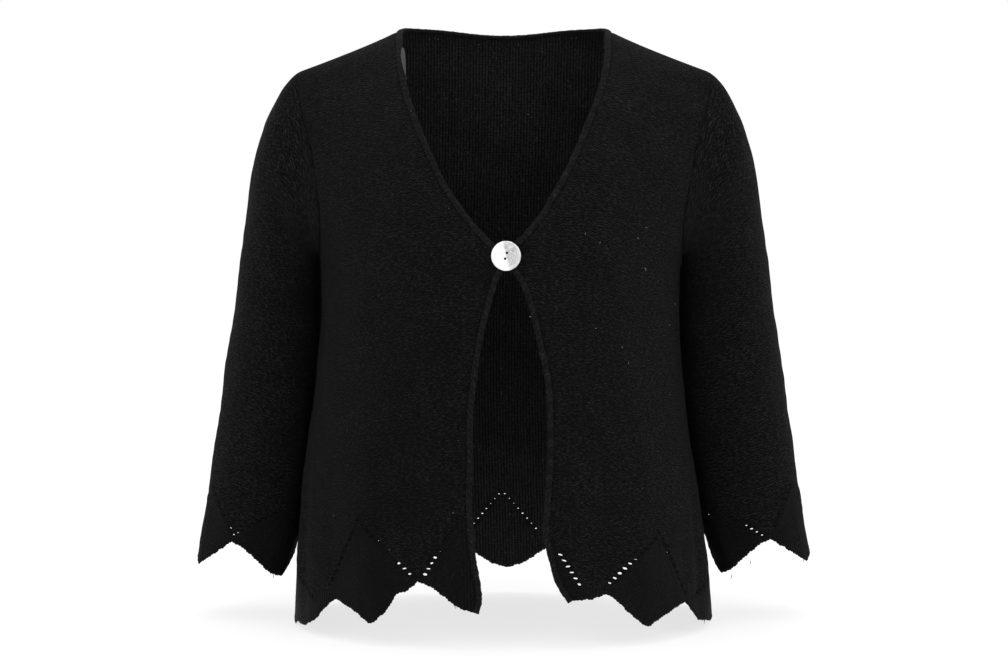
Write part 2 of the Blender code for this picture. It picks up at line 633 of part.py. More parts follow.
def material_of(name, look):
    material = bpy.data.materials.new(name)
    material.use_nodes = True
    shader = material.node_tree.nodes["Principled BSDF"]
    shader.inputs["Base Color"].default_value = (*look["colour"], 1)
    shader.inputs["Roughness"].default_value = look["roughness"]
    shader.inputs["Metallic"].default_value = look["metallic"]
    return material


def eyelet_rows(table, side):
    return [((side * a0, d0), (side * a1, d1), steps, tip) for a0, d0, a1, d1, steps, tip in table]


def body_outline(parts):
    """One closed outline from lists of (around, down, seam direction)."""
    rows = [row for part in parts for row in part]
    return np.array([[row[0], row[1]] for row in rows]), [row[2] for row in rows]


def armhole_rows(side, depth):
    rows = []
    for degrees in ARMHOLE_DEGREES:
        around, down = armhole_flat(depth, np.array([float(degrees)]))
        rows.append((side * around[0], down[0], seam_direction(side, depth, degrees)))
    return rows


def side_rows(side, depth):
    return [(side * float(quarter(depth, down)), down, SQUARE) for down in side_seam()]


def front_panel(name, side, hem, eyelets):
    edge = inset_path(front_edge(side), EDGING_WIDTH + SEAM_GAP / 2, side)
    edge[0, 1] = 0
    outline, directions = body_outline([
        [(side * around, 0.0, SQUARE) for around in shoulder_seam()[:-1]],
        armhole_rows(side, "front"),
        side_rows(side, "front")[1:],
        [(side * around, down, None) for _, around, down in reversed(hem)],
        [(around, down, None) for around, down in edge[:0:-1]],
    ])
    holes = eyelets_in(eyelet_rows(eyelets, side), outline)
    return wall(name, outline, holes, BODY_GRID, front_surface(side), -1, -SEAM_GAP / 2,
                material_of(name, KNIT), directions)


def back_panel(name):
    neck = inset_path(back_neck_edge(), EDGING_WIDTH + SEAM_GAP / 2, -1)
    neck[[0, -1], 1] = 0
    halves = []
    for side in (1, -1):
        halves.append([
            [(side * around, 0.0, SQUARE) for around in shoulder_seam()[:-1]],
            armhole_rows(side, "back"),
            side_rows(side, "back")[1:],
            [(side * around + BACK_HEM_SHIFT, down, None) for _, around, down in reversed(BACK_HEM)],
        ])
    right = halves[0]
    left = [part[::-1] for part in reversed(halves[1])]
    centre = [[(BACK_HEM_SHIFT, BACK_HEM[0][2] + 0.0005, None)]]
    outline, directions = body_outline(right + centre + left + [[(a, d, None) for a, d in neck[1:-1]]])
    rows = eyelet_rows(BACK_EYELETS, 1) + eyelet_rows(BACK_EYELETS, -1)
    holes = eyelets_in(rows, outline)
    return wall(name, outline, holes, BODY_GRID, back_surface, 1, SEAM_GAP / 2,
                material_of(name, KNIT), directions)


def cuff_along(side, degrees):
    """How far down the sleeve its zigzag edge is, at these degrees."""
    turns = np.array([row[1] for row in CUFF[side]], dtype=float)
    alongs = np.array([row[2] for row in CUFF[side]])
    return np.interp(degrees, turns, alongs, period=360)


def sleeve_half(name, side, half):
    """One half of a sleeve: 1 is the front half, with its cuff's degrees 0 to 180, and -1 the back one."""
    depth = "front" if half > 0 else "back"
    radius = SLEEVE_FLAT_RADIUS
    outer_end, inner_end = float(cuff_along(side, 0)), float(cuff_along(side, 180))
    top = [(half * math.radians(degrees) * radius, SEAM_GAP + UNDERARM_PARTING * (degrees / 180) ** 4,
            seam_direction(side, depth, degrees)) for degrees in ARMHOLE_DEGREES]
    inner = [(half * math.pi * radius, along, SQUARE)
             for along in (*UNDERARM_ROWS, *np.linspace(0, inner_end, round(inner_end / SEAM_STEP) + 1)[1:])]
    turns = [(degrees - (0 if half > 0 else 360), along) for _, degrees, along in CUFF[side]]
    cuff = [(math.radians(degrees) * radius, along, None)
            for degrees, along in turns if 0 < half * degrees < 180]
    cuff.sort(key=lambda row: -abs(row[0]))
    outer = [(0.0, along, SQUARE)
             for along in np.linspace(outer_end, 0, round(outer_end / SEAM_STEP) + 1)[:-1]]
    outline, directions = body_outline([top, inner, cuff, outer])
    rows = []
    for from_turn, from_along, to_turn, to_along, steps, tip in CUFF_EYELETS[side]:
        for lap in (-360, 0):
            rows.append(((math.radians(from_turn + lap) * radius, from_along),
                         (math.radians(to_turn + lap) * radius, to_along), steps, tip))
    holes = eyelets_in(rows, outline)
    return wall(name, outline, holes, SLEEVE_GRID, lambda a, d: sleeve_point(side, a, d), side,
                -half * SEAM_GAP / 2, material_of(name, KNIT), directions)


# The edging's section, in parts of its width across the cloth and of its thickness.
EDGING_SECTION = (
    # across  height
    (0.00,  0.00),
    (0.28,  0.50),
    (1.00,  0.42),
    (1.00, -0.42),
    (0.28, -0.50),
)


def edging(name, path, side, point_at, facing):
    """A narrow rounded band along a finished edge."""
    rings = []
    for across, height in EDGING_SECTION:
        middle, normal = surface_of(point_at, inset_path(path, across * EDGING_WIDTH, side), facing)
        rings.append(middle + normal * height * EDGING_THICKNESS)
    points = np.stack(rings, axis=1)
    count, corners = points.shape[:2]
    polygons = []
    for n in range(count - 1):
        for k in range(corners):
            a, b = n * corners + k, n * corners + (k + 1) % corners
            polygons += [[a, b, b + corners], [a, b + corners, a + corners]]
    fans = [[0, k, k + 1] for k in range(1, corners - 1)]
    last = (count - 1) * corners
    polygons += [[c, b, a] for a, b, c in fans]
    polygons += [[last + a, last + b, last + c] for a, b, c in fans]
    if side * facing < 0:
        polygons = [polygon[::-1] for polygon in polygons]
    return add_object(name, points.reshape(-1, 3), polygons, material_of(name, RIB))


def button(name):
    """A flat disc with eased rims and two holes, lying on the upper front behind it."""
    sides, hole_sides = 36, 8
    rim = ((BUTTON_RADIUS - 0.0007, 0.0), (BUTTON_RADIUS, 0.0007),
           (BUTTON_RADIUS, BUTTON_THICKNESS - 0.0008), (BUTTON_RADIUS - 0.0011, BUTTON_THICKNESS))
    lean = math.radians(BUTTON_HOLE_LEAN)
    turns = np.arange(sides) * 2 * math.pi / sides
    circle = np.stack([np.cos(turns), np.sin(turns)], axis=1)
    hole_turns = np.arange(hole_sides) * 2 * math.pi / hole_sides
    hole_ring = np.stack([np.cos(hole_turns), np.sin(hole_turns)], axis=1) * BUTTON_HOLE_RADIUS
    centres = np.array([[math.sin(lean), math.cos(lean)]]) * np.array([[1], [-1]]) * BUTTON_HOLE_APART / 2
    holes = np.vstack([hole_ring + centre for centre in centres])
    flat = np.vstack([circle * (BUTTON_RADIUS - 0.001), holes])
    loops = [list(range(sides))] + [list(range(sides + n * hole_sides, sides + (n + 1) * hole_sides))
                                    for n in range(2)]
    edges = [(loop[n], loop[(n + 1) % len(loop)]) for loop in loops for n in range(len(loop))]
    _, _, faces, origins = delaunay_2d_cdt([Vector(p) * 1000 for p in flat], edges, [], 0, 1e-5, True)[:4]
    faces = [[origins[corner][0] for corner in face] for face in faces]
    faces = [face for face in faces
             if min(face) < sides or len({(corner - sides) // hole_sides for corner in face}) > 1]
    points = []
    for radius, height in rim:
        points += [(x, y, height) for x, y in circle * radius]
    first_hole = len(points)
    points += [(x, y, 0.0) for x, y in holes] + [(x, y, BUTTON_THICKNESS) for x, y in holes]
    top = (len(rim) - 1) * sides
    polygons = []
    for face in faces:
        upper = [c + top if c < sides else c - sides + first_hole + 2 * hole_sides for c in face]
        lower = [c if c < sides else c - sides + first_hole for c in face]
        polygons += [upper, lower[::-1]]
    for ring in range(len(rim) - 1):
        for n in range(sides):
            a, b = ring * sides + n, ring * sides + (n + 1) % sides
            polygons += [[a, b, b + sides], [a, b + sides, a + sides]]
    for hole in range(2):
        for n in range(hole_sides):
            a = first_hole + hole * hole_sides + n
            b = first_hole + hole * hole_sides + (n + 1) % hole_sides
            polygons += [[b, a, a + 2 * hole_sides], [b, a + 2 * hole_sides, b + 2 * hole_sides]]
    place = np.array([[1e-6, BUTTON_DOWN]])
    middle, normal = surface_of(lambda a, d: body_point("front", a, d), place, -1)
    ahead = normal[0]
    up = np.array([0, 0, 1]) - ahead * ahead[2]
    up /= np.linalg.norm(up)
    across = np.cross(up, ahead)
    base = middle[0] + across * BUTTON_X + ahead * (LAP + EDGING_THICKNESS / 2 + SEAM_GAP)
    points = np.array(points)
    points = base + points[:, :1] * across + points[:, 1:2] * up + points[:, 2:] * ahead
    return add_object(name, points, polygons, material_of(name, SILVER))


def main():
    for obj in list(bpy.data.objects):
        bpy.data.objects.remove(obj)
    back_panel("back")
    front_panel("front_left", -1, LEFT_HEM, LEFT_EYELETS)
    front_panel("front_right", 1, RIGHT_HEM, RIGHT_EYELETS)
    sleeve_half("sleeve_left_front", -1, 1)
    sleeve_half("sleeve_left_back", -1, -1)
    sleeve_half("sleeve_right_front", 1, 1)
    sleeve_half("sleeve_right_back", 1, -1)
    edging("edging_left", front_edge(-1), -1, front_surface(-1), -1)
    edging("edging_right", front_edge(1), 1, front_surface(1), -1)
    edging("edging_neck", back_neck_edge(), -1, back_surface, 1)
    button("button")


main()
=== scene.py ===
"""The looks of a cropped, open knit cardigan, filled out as if worn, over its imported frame.

Metres, +Z up, the front faces -Y. Left and right are the viewer's.

Every panel is drawn flat, as (around, down): around is the distance along the cloth from the centre line,
down the distance from the shoulder seam. The tables of the form are those of the solids, and each cloth
piece is a fine closed shell on the middle surface of its solid's wall.
"""

import math
from functools import partial

import bpy
import numpy as np
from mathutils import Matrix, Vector
from mathutils.geometry import delaunay_2d_cdt
from mathutils.kdtree import KDTree


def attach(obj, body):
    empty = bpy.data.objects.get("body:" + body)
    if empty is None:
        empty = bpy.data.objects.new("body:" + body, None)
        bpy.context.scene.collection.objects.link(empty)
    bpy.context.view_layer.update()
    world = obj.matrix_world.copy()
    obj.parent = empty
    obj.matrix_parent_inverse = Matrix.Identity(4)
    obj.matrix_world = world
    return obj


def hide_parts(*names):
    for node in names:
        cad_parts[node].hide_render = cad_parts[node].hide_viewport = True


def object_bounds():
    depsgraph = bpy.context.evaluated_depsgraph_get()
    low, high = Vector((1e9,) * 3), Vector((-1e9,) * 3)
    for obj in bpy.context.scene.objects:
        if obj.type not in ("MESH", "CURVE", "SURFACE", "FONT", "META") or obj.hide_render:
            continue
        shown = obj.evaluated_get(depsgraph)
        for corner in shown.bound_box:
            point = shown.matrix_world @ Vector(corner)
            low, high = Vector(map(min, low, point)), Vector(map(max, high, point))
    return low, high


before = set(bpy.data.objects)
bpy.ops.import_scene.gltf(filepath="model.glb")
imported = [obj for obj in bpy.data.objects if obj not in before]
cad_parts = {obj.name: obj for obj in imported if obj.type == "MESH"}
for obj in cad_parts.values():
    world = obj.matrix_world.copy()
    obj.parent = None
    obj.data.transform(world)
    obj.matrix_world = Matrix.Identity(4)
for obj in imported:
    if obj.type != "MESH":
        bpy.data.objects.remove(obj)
CAD_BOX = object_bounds()
RANDOM = np.random.default_rng(11)

# ---------------------------------------------------------------- driving sizes
WALL = 0.0022                 # thickness of the knit
SEAM_GAP = 0.0003             # parting between sewn pieces
UNDERARM_PARTING = 0.0010     # and as much more at the underarm, where the seam folds
NECK_HALF_WIDTH = 0.100       # neck point from the centre line
BACK_NECK_DEPTH = 0.074       # how far down the back neckline dips, along the cloth
ARMHOLE_DEPTH = 0.245         # shoulder tip to underarm, down the cloth

EDGING_WIDTH = 0.0060         # rolled knit edging
EDGING_THICKNESS = 0.0042
EDGING_STEP = 0.0090          # distance between the places that a front edge is smoothed through

BUTTON_RADIUS = 0.0143
BUTTON_THICKNESS = 0.0024
BUTTON_HOLE_RADIUS = 0.0010
BUTTON_HOLE_APART = 0.0058    # centre to centre
BUTTON_HOLE_LEAN = 18         # degrees that the line of the two holes leans to the right
BUTTON_DOWN = 0.2722          # centre of the button, down the cloth
BUTTON_X = 0.0053             # and to the right of the centre line

LAP = 0.0026                  # behind the button the left front stands out, and the right front in
LAP_AROUND = 0.003            # the middle of that lap, on the cloth
LAP_DOWN = 0.274
LAP_REACH = 0.021

# ---------------------------------------------------------------- the body's sections
# One row for each level of the body, from the shoulder seam to below the hem.
# down: along the cloth. drop: below the neck points at the centre. tip: extra drop of the sloping
# shoulder at its tip. sag: extra drop at the side. lift: rise of the back neck. half_width, front and
# back: the section's reach to the side, to the front and to the back. sway: its shift to the side.
# blunt: 2 is an ellipse, more is boxier.
SECTION_COLUMNS = ("down", "drop", "tip", "sag", "lift", "half_width", "front", "back", "sway", "blunt")
SECTIONS = (
    # down    drop    tip     sag    lift    width   front   back    sway     blunt
    (0.000,  0.000,  0.047,  0.000, 0.000,  0.2120, 0.000,  0.000,   0.0000,  4.0),
    (0.022,  0.006,  0.0465, 0.000, 0.008,  0.2125, 0.021,  0.021,   0.0000,  3.4),
    (0.045,  0.020,  0.045,  0.001, 0.021,  0.2120, 0.040,  0.038,   0.0000,  3.0),
    (0.075,  0.042,  0.043,  0.002, 0.034,  0.2100, 0.061,  0.057,   0.0000,  2.8),
    (0.115,  0.074,  0.040,  0.004, 0.032,  0.2050, 0.085,  0.076,  -0.0005,  2.6),
    (0.160,  0.113,  0.035,  0.007, 0.022,  0.1970, 0.108,  0.089,  -0.0010,  2.6),
    (0.200,  0.149,  0.029,  0.010, 0.013,  0.1880, 0.125,  0.096,  -0.0020,  2.5),
    (0.238,  0.184,  0.023,  0.013, 0.007,  0.1800, 0.138,  0.101,  -0.0030,  2.4),
    (0.290,  0.235,  0.015,  0.016, 0.002,  0.1775, 0.149,  0.104,  -0.0035,  2.3),
    (0.360,  0.305,  0.008,  0.020, 0.000,  0.1815, 0.152,  0.108,  -0.0045,  2.3),
    (0.440,  0.384,  0.003,  0.026, 0.000,  0.1905, 0.154,  0.119,  -0.0045,  2.3),
    (0.520,  0.463,  0.000,  0.032, 0.000,  0.2020, 0.157,  0.133,  -0.0030,  2.3),
    (0.590,  0.532,  0.000,  0.037, 0.000,  0.2085, 0.161,  0.146,  -0.0010,  2.3),
    (0.660,  0.601,  0.000,  0.042, 0.000,  0.2125, 0.166,  0.158,   0.0000,  2.3),
)
NECK_EASE = 0.002             # how softly the shoulder's slope begins at the neck point
SHOULDER_CURVE = 0.86
NECK_RISE_REACH = 0.115       # the rise of the back neck ends this far from the centre line
# The cloth leaves the shoulder seam level, forwards and backwards, so that front and back run on smoothly.
START_SLOPES = {"drop": 0.0, "tip": 0.0, "sag": 0.0, "lift": 0.0, "front": 1.0, "back": 1.0}


def smooth_column(knots, values, start_slope=None):
    """A smooth curve through one column of a table, as a function of the table's first column."""
    values = np.array(values)
    slopes = np.gradient(values, knots)
    if start_slope is not None:
        slopes[0] = start_slope

    def value(at):
        at = np.clip(at, knots[0], knots[-1])
        i = np.clip(np.searchsorted(knots, at, side="right") - 1, 0, len(knots) - 2)
        span = knots[i + 1] - knots[i]
        u = (at - knots[i]) / span
        ease = u * u * (3 - 2 * u)
        return (values[i] * (1 - ease) + values[i + 1] * ease
                + span * u * (1 - u) * ((1 - u) * slopes[i] - u * slopes[i + 1]))

    return value


def smooth_table(columns, rows, start_slopes=None):
    """A smooth curve for every column of a table but the first, along which the others run."""
    knots = np.array([row[0] for row in rows], dtype=float)
    return {
        column: smooth_column(knots, [row[n] for row in rows], (start_slopes or {}).get(column))
        for n, column in enumerate(columns) if n
    }


SECTION = smooth_table(SECTION_COLUMNS, SECTIONS, START_SLOPES)


def unit_section(turn, blunt):
    """A quarter of a blunt circle: (0, 1) at the centre line, where turn is 0, to (1, 0) at the side."""
    across, ahead = np.sin(turn), np.cos(turn)
    norm = (np.abs(across) ** blunt + np.abs(ahead) ** blunt) ** (1 / blunt)
    return across / norm, ahead / norm


# The flat distance around a level, from the centre line, set against the turn round its section.
TURNS = np.linspace(0, math.pi / 2, 91)
LEVELS = np.linspace(0, SECTIONS[-1][0], 133)


def quarter_lengths(depth):
    """For each level, the distance around from the centre line to each of TURNS."""
    across, ahead = unit_section(TURNS[None, :], SECTION["blunt"](LEVELS)[:, None])
    x = SECTION["half_width"](LEVELS)[:, None] * across
    y = SECTION[depth](LEVELS)[:, None] * ahead
    steps = np.hypot(np.diff(x, axis=1), np.diff(y, axis=1))
    return np.concatenate([np.zeros((len(LEVELS), 1)), np.cumsum(steps, axis=1)], axis=1)


LENGTHS = {"front": quarter_lengths("front"), "back": quarter_lengths("back")}


def quarter(depth, down):
    """The flat distance from the centre line to the side line at this level."""
    return np.interp(down, LEVELS, LENGTHS[depth][:, -1])


def turn_at(depth, around, down):
    """The turn round the section of a flat place."""
    table = LENGTHS[depth]
    turns = np.empty(len(around))
    for first in range(0, len(around), 20000):
        some = slice(first, first + 20000)
        level = np.clip(down[some] / LEVELS[1], 0, len(LEVELS) - 1.001)
        low = level.astype(int)
        part = (level - low)[:, None]
        rows = table[low] * (1 - part) + table[low + 1] * part
        far = np.abs(around[some])
        before = np.clip((rows < far[:, None]).sum(axis=1) - 1, 0, len(TURNS) - 2)
        pick = np.arange(len(far))
        start, end = rows[pick, before], rows[pick, before + 1]
        turns[some] = TURNS[before] + (far - start) / (end - start) * TURNS[1]
    return turns


def body_point(depth, around, down):
    """The middle of the wall at flat places of the front or the back; around is negative at the left."""
    around = np.asarray(around, dtype=float)
    down = np.asarray(down, dtype=float)
    turn = turn_at(depth, around, down)
    at = {column: curve(down) for column, curve in SECTION.items()}
    across, ahead = unit_section(turn, at["blunt"])
    side = np.sign(around)
    x = side * at["half_width"] * across
    reach = at[depth] * ahead
    beyond_neck = (np.abs(x) - NECK_HALF_WIDTH) / (at["half_width"] - NECK_HALF_WIDTH)
    slope = 0.5 * (beyond_neck + np.sqrt(beyond_neck ** 2 + NECK_EASE))
    z = -at["drop"] - at["tip"] * slope ** SHOULDER_CURVE - at["sag"] * across ** 2
    if depth == "back":
        z = z + at["lift"] * ahead / (1 + (np.abs(x) / NECK_RISE_REACH) ** 6)
    y = reach if depth == "back" else -reach
    return np.stack([x + at["sway"], y, z], axis=-1)


# ---------------------------------------------------------------- cut edges of the panels
# The armhole, by its turn from the shoulder tip (0 degrees) to the underarm (180 degrees): how far down
# it is, and how far the front and the back are cut in from the side line.
ARMHOLE = (
    # turn  down   front   back
    (0,    0.000, 0.0064, 0.0064),
    (15,   0.014, 0.0115, 0.0105),
    (30,   0.028, 0.0165, 0.0145),
    (45,   0.043, 0.0220, 0.0190),
    (60,   0.062, 0.0290, 0.0245),
    (75,   0.090, 0.0400, 0.0330),
    (90,   0.122, 0.0505, 0.0415),
    (105,  0.150, 0.0565, 0.0465),
    (120,  0.176, 0.0595, 0.0490),
    (135,  0.200, 0.0560, 0.0465),
    (150,  0.221, 0.0440, 0.0370),
    (165,  0.238, 0.0240, 0.0205),
    (180,  ARMHOLE_DEPTH, 0.0, 0.0),
)

# The finished front edges, from the neck point down to the hem corner: (down, distance from the centre
# front, counted towards the panel's own side). Each edge passes the centre where the button holds it.
LEFT_EDGE = (
    (0.000, 0.1000), (0.034, 0.1000), (0.082, 0.0957), (0.106, 0.0905), (0.139, 0.0797), (0.167, 0.0682),
    (0.199, 0.0532), (0.221, 0.0390), (0.243, 0.0222), (0.257, 0.0092), (0.263, 0.0030), (0.268, -0.0020),
    (0.273, -0.0050), (0.278, -0.0055), (0.284, -0.0035), (0.290, 0.0003), (0.300, 0.0035), (0.312, 0.0067),
    (0.346, 0.0148), (0.382, 0.0204), (0.428, 0.0249), (0.470, 0.0256), (0.512, 0.0272), (0.542, 0.0263),
    (0.573, 0.0238), (0.593, 0.0208), (0.606, 0.0202), (0.6175, 0.0240),
)
RIGHT_EDGE = (
    (0.000, 0.1000), (0.026, 0.0992), (0.070, 0.0965), (0.104, 0.0894), (0.137, 0.0783), (0.177, 0.0632),
    (0.211, 0.0468), (0.237, 0.0320), (0.248, 0.0228), (0.257, 0.0150), (0.264, 0.0078), (0.269, 0.0030),
    (0.273, 0.0012), (0.277, 0.0020), (0.282, 0.0058), (0.287, 0.0110), (0.294, 0.0165), (0.318, 0.0267),
    (0.356, 0.0363), (0.388, 0.0435), (0.426, 0.0457), (0.452, 0.0459), (0.512, 0.0418), (0.540, 0.0396),
    (0.559, 0.0436), (0.587, 0.0508), (0.605, 0.0622),
)

# The zigzag hem, from the front edge's lower end to the side seam: (feature, around, down).
LEFT_HEM = (
    ("slope", 0.0452, 0.6092), ("slope", 0.0541, 0.6005),
    ("slope", 0.0680, 0.5885), ("valley", 0.0835, 0.5815), ("shelf", 0.0905, 0.5880),
    ("shelf", 0.0975, 0.5910), ("shelf", 0.1045, 0.5912), ("slope", 0.1155, 0.6078),
    ("point", 0.1315, 0.6180), ("slope", 0.1518, 0.6018), ("valley", 0.1765, 0.5885),
    ("slope", 0.1889, 0.5955), ("slope", 0.2047, 0.6060), ("point", 0.2308, 0.6125),
    ("notch", 0.2540, 0.6090), ("point", 0.2780, 0.6150),
)
RIGHT_HEM = (
    ("slope", 0.0855, 0.5990), ("valley", 0.1010, 0.5918),
    ("slope", 0.1118, 0.5970), ("slope", 0.1266, 0.6095), ("point", 0.1430, 0.6195),
    ("slope", 0.1612, 0.6080), ("slope", 0.1816, 0.5970), ("valley", 0.1985, 0.5900),
    ("slope", 0.2080, 0.5985), ("point", 0.2230, 0.6075), ("slope", 0.2480, 0.6080),
    ("point", 0.2760, 0.6110),
)
BACK_HEM_SHIFT = 0.0035       # the back hem hangs this far to the right
BACK_HEM = (
    ("point", 0.0040, 0.6268), ("slope", 0.0180, 0.6215), ("slope", 0.0350, 0.6085),
    ("valley", 0.0520, 0.5955), ("slope", 0.0700, 0.6045), ("point", 0.0980, 0.6185),
    ("slope", 0.1165, 0.6070), ("slope", 0.1300, 0.5995), ("valley", 0.1430, 0.5940),
    ("slope", 0.1700, 0.6035), ("point", 0.2100, 0.6160), ("slope", 0.2500, 0.6130),
)
SEAM_HEM_DOWN = 0.6135        # where the hem meets the side seam

# The openwork: rows of eyelets, each from near a valley up to the tip of a diamond: (around, down) twice,
# the number of steps between them, and 1 where the tip has an eyelet of its own that this row carries.
LEFT_EYELETS = (
    (0.0750, 0.5758, 0.0400, 0.5240, 10, 0),
    (0.0905, 0.5740, 0.1415, 0.5165, 10, 1),
    (0.1800, 0.5740, 0.1450, 0.5230, 9, 0),
    (0.2085, 0.5850, 0.2860, 0.5440, 12, 0),
)
RIGHT_EYELETS = (
    (0.0737, 0.5855, 0.0490, 0.5470, 7, 0),
    (0.1048, 0.5813, 0.1595, 0.5285, 10, 1),
    (0.1965, 0.5815, 0.1640, 0.5330, 8, 0),
    (0.2180, 0.5845, 0.2920, 0.5480, 12, 0),
)
BACK_EYELETS = (
    (0.0350, 0.5825, 0.0030, 0.5458, 7, 1),
    (0.0590, 0.5860, 0.1000, 0.5330, 10, 1),
    (0.1380, 0.5835, 0.1040, 0.5385, 8, 0),
    (0.1560, 0.5850, 0.2780, 0.5450, 18, 0),
)
EYELET_MARGIN = 0.0060        # an eyelet nearer than this to a cut edge is left out

# The sleeve, from the armhole to below the cuff. along: down its middle. outer and inner: the ends of
# each section, away from the body and next to it. half_depth: half its reach front to back.
# inner_back: how far the inner end lies further back, behind the side of the body.
SLEEVE_COLUMNS = ("along", "outer_x", "outer_z", "inner_x", "inner_z", "centre_y", "half_depth", "blunt",
                  "inner_back")
SLEEVE_SECTIONS = (
    # along   outer            inner            centre  half    blunt  inner_back
    (0.000,  0.2062, -0.0445,  0.1797, -0.2262, -0.006, 0.0535, 2.0, 0.000),
    (0.012,  0.2180, -0.0570,  0.1824, -0.2272, -0.004, 0.0535, 2.1, 0.001),
    (0.032,  0.2333, -0.0850,  0.1830, -0.2305,  0.000, 0.0530, 2.1, 0.005),
    (0.054,  0.2438, -0.1150,  0.1818, -0.2385,  0.005, 0.0525, 2.2, 0.010),
    (0.078,  0.2523, -0.1480,  0.1804, -0.2500,  0.011, 0.0525, 2.2, 0.013),
    (0.105,  0.2584, -0.1900,  0.1797, -0.2660,  0.017, 0.0525, 2.2, 0.013),
    (0.146,  0.2656, -0.2400,  0.1797, -0.2960,  0.024, 0.0530, 2.2, 0.008),
    (0.194,  0.2732, -0.2910,  0.1830, -0.3360,  0.029, 0.0530, 2.2, 0.003),
    (0.242,  0.2814, -0.3410,  0.1876, -0.3810,  0.032, 0.0530, 2.2, 0.000),
    (0.290,  0.2885, -0.3910,  0.1936, -0.4260,  0.034, 0.0525, 2.2, 0.000),
    (0.337,  0.2954, -0.4400,  0.1995, -0.4700,  0.034, 0.0520, 2.2, 0.000),
    (0.380,  0.3023, -0.4850,  0.2075, -0.5100,  0.034, 0.0510, 2.1, 0.000),
    (0.4205, 0.3101, -0.5280,  0.2180, -0.5470,  0.032, 0.0500, 2.1, 0.000),
    (0.460,  0.3171, -0.5680,  0.2275, -0.5850,  0.031, 0.0490, 2.1, 0.000),
)
SLEEVE_BLEND = 0.054          # the length over which the sleeve leaves the armhole's own line
SLEEVE_FLAT_RADIUS = 0.050    # turns a sleeve's degrees into flat distance

# The cuffs' zigzags and the rows of their eyelets, by degrees round from the outer line over the front.
LEFT_CUFF = (
    # feature  turn  along
    ("point",  24,   0.4330),
    ("slope",  48,   0.4188),
    ("valley", 71,   0.3997),
    ("slope",  88,   0.4020),
    ("slope",  112,  0.4145),
    ("point",  129,  0.4240),
    ("point",  150,  0.4272),
    ("slope",  163,  0.4185),
    ("slope",  176,  0.4060),
    ("valley", 190,  0.3960),
    ("slope",  216,  0.4100),
    ("point",  242,  0.4240),
    ("slope",  270,  0.4110),
    ("valley", 297,  0.3985),
    ("slope",  318,  0.4070),
    ("slope",  342,  0.4190),
)
RIGHT_CUFF = (
    # feature  turn  along
    ("point",  30,   0.4286),
    ("slope",  54,   0.4138),
    ("valley", 76,   0.3962),
    ("slope",  91,   0.3975),
    ("slope",  118,  0.4105),
    ("point",  135,  0.4198),
    ("point",  157,  0.4242),
    ("slope",  169,  0.4160),
    ("slope",  182,  0.4035),
    ("valley", 196,  0.3935),
    ("slope",  212,  0.4010),
    ("point",  230,  0.4085),
    ("slope",  248,  0.4000),
    ("valley", 264,  0.3925),
    ("slope",  284,  0.4010),
    ("point",  312,  0.4130),
    ("shelf",  340,  0.4110),
)
LEFT_CUFF_EYELETS = (
    # from turn, along    to turn, along   steps, tip
    (73,  0.3925,         34,  0.3560,     7, 1),
    (78,  0.3895,         126, 0.3545,     8, 1),
    (183, 0.3840,         132, 0.3600,     7, 0),
    (197, 0.3840,         242, 0.3570,     7, 1),
    (288, 0.3860,         248, 0.3600,     6, 0),
    (306, 0.3880,         386, 0.3600,     11, 0),
)
RIGHT_CUFF_EYELETS = (
    # from turn, along    to turn, along   steps, tip
    (71,  0.3855,         40,  0.3518,     6, 1),
    (86,  0.3902,         132, 0.3508,     9, 1),
    (188, 0.3800,         138, 0.3558,     7, 0),
    (204, 0.3800,         230, 0.3600,     4, 1),
    (254, 0.3790,         235, 0.3640,     3, 0),
    (276, 0.3840,         312, 0.3560,     6, 1),
    (340, 0.3900,         318, 0.3620,     5, 0),
    (352, 0.3900,         386, 0.3600,     6, 0),
)
CUFF = {-1: LEFT_CUFF, 1: RIGHT_CUFF}
CUFF_EYELETS = {-1: LEFT_CUFF_EYELETS, 1: RIGHT_CUFF_EYELETS}


# ---------------------------------------------------------------- the armhole seam
ARMHOLE_SEAM = smooth_table(("turn", "down", "front", "back"), ARMHOLE)


def armhole_flat(depth, degrees):
    """The flat place of the armhole seam, unsigned, at these degrees from the shoulder tip."""
    down = ARMHOLE_SEAM["down"](degrees)
    return quarter(depth, down) - ARMHOLE_SEAM[depth](degrees), down


def armhole_point(side, depth, degrees):
    around, down = armhole_flat(depth, degrees)
    return body_point(depth, side * around, down)


# ---------------------------------------------------------------- the sleeves' form
SLEEVE = smooth_table(SLEEVE_COLUMNS, SLEEVE_SECTIONS)
SLEEVE_HALF_TURN = math.pi * SLEEVE_FLAT_RADIUS   # flat distance from the outer line to the inner one


def sleeve_ring(side, degrees, along):
    """A place on the plain tube; degrees run from the outer line over the front to the inner line."""
    at = {column: curve(along) for column, curve in SLEEVE.items()}
    ahead, outward = unit_section(np.radians(degrees), at["blunt"])
    # the inner line sways with the body; a place is about 0.04 further down its cloth than its level is
    inner_x = at["inner_x"] + SECTION["sway"](np.maximum(0.04 - at["inner_z"], 0)) * side
    x = (at["outer_x"] + inner_x) / 2 + outward * (at["outer_x"] - inner_x) / 2
    z = (at["outer_z"] + at["inner_z"]) / 2 + outward * (at["outer_z"] - at["inner_z"]) / 2
    y = at["centre_y"] - ahead * at["half_depth"] + at["inner_back"] * (1 - outward) / 2
    return np.stack([side * x, y, z], axis=-1)


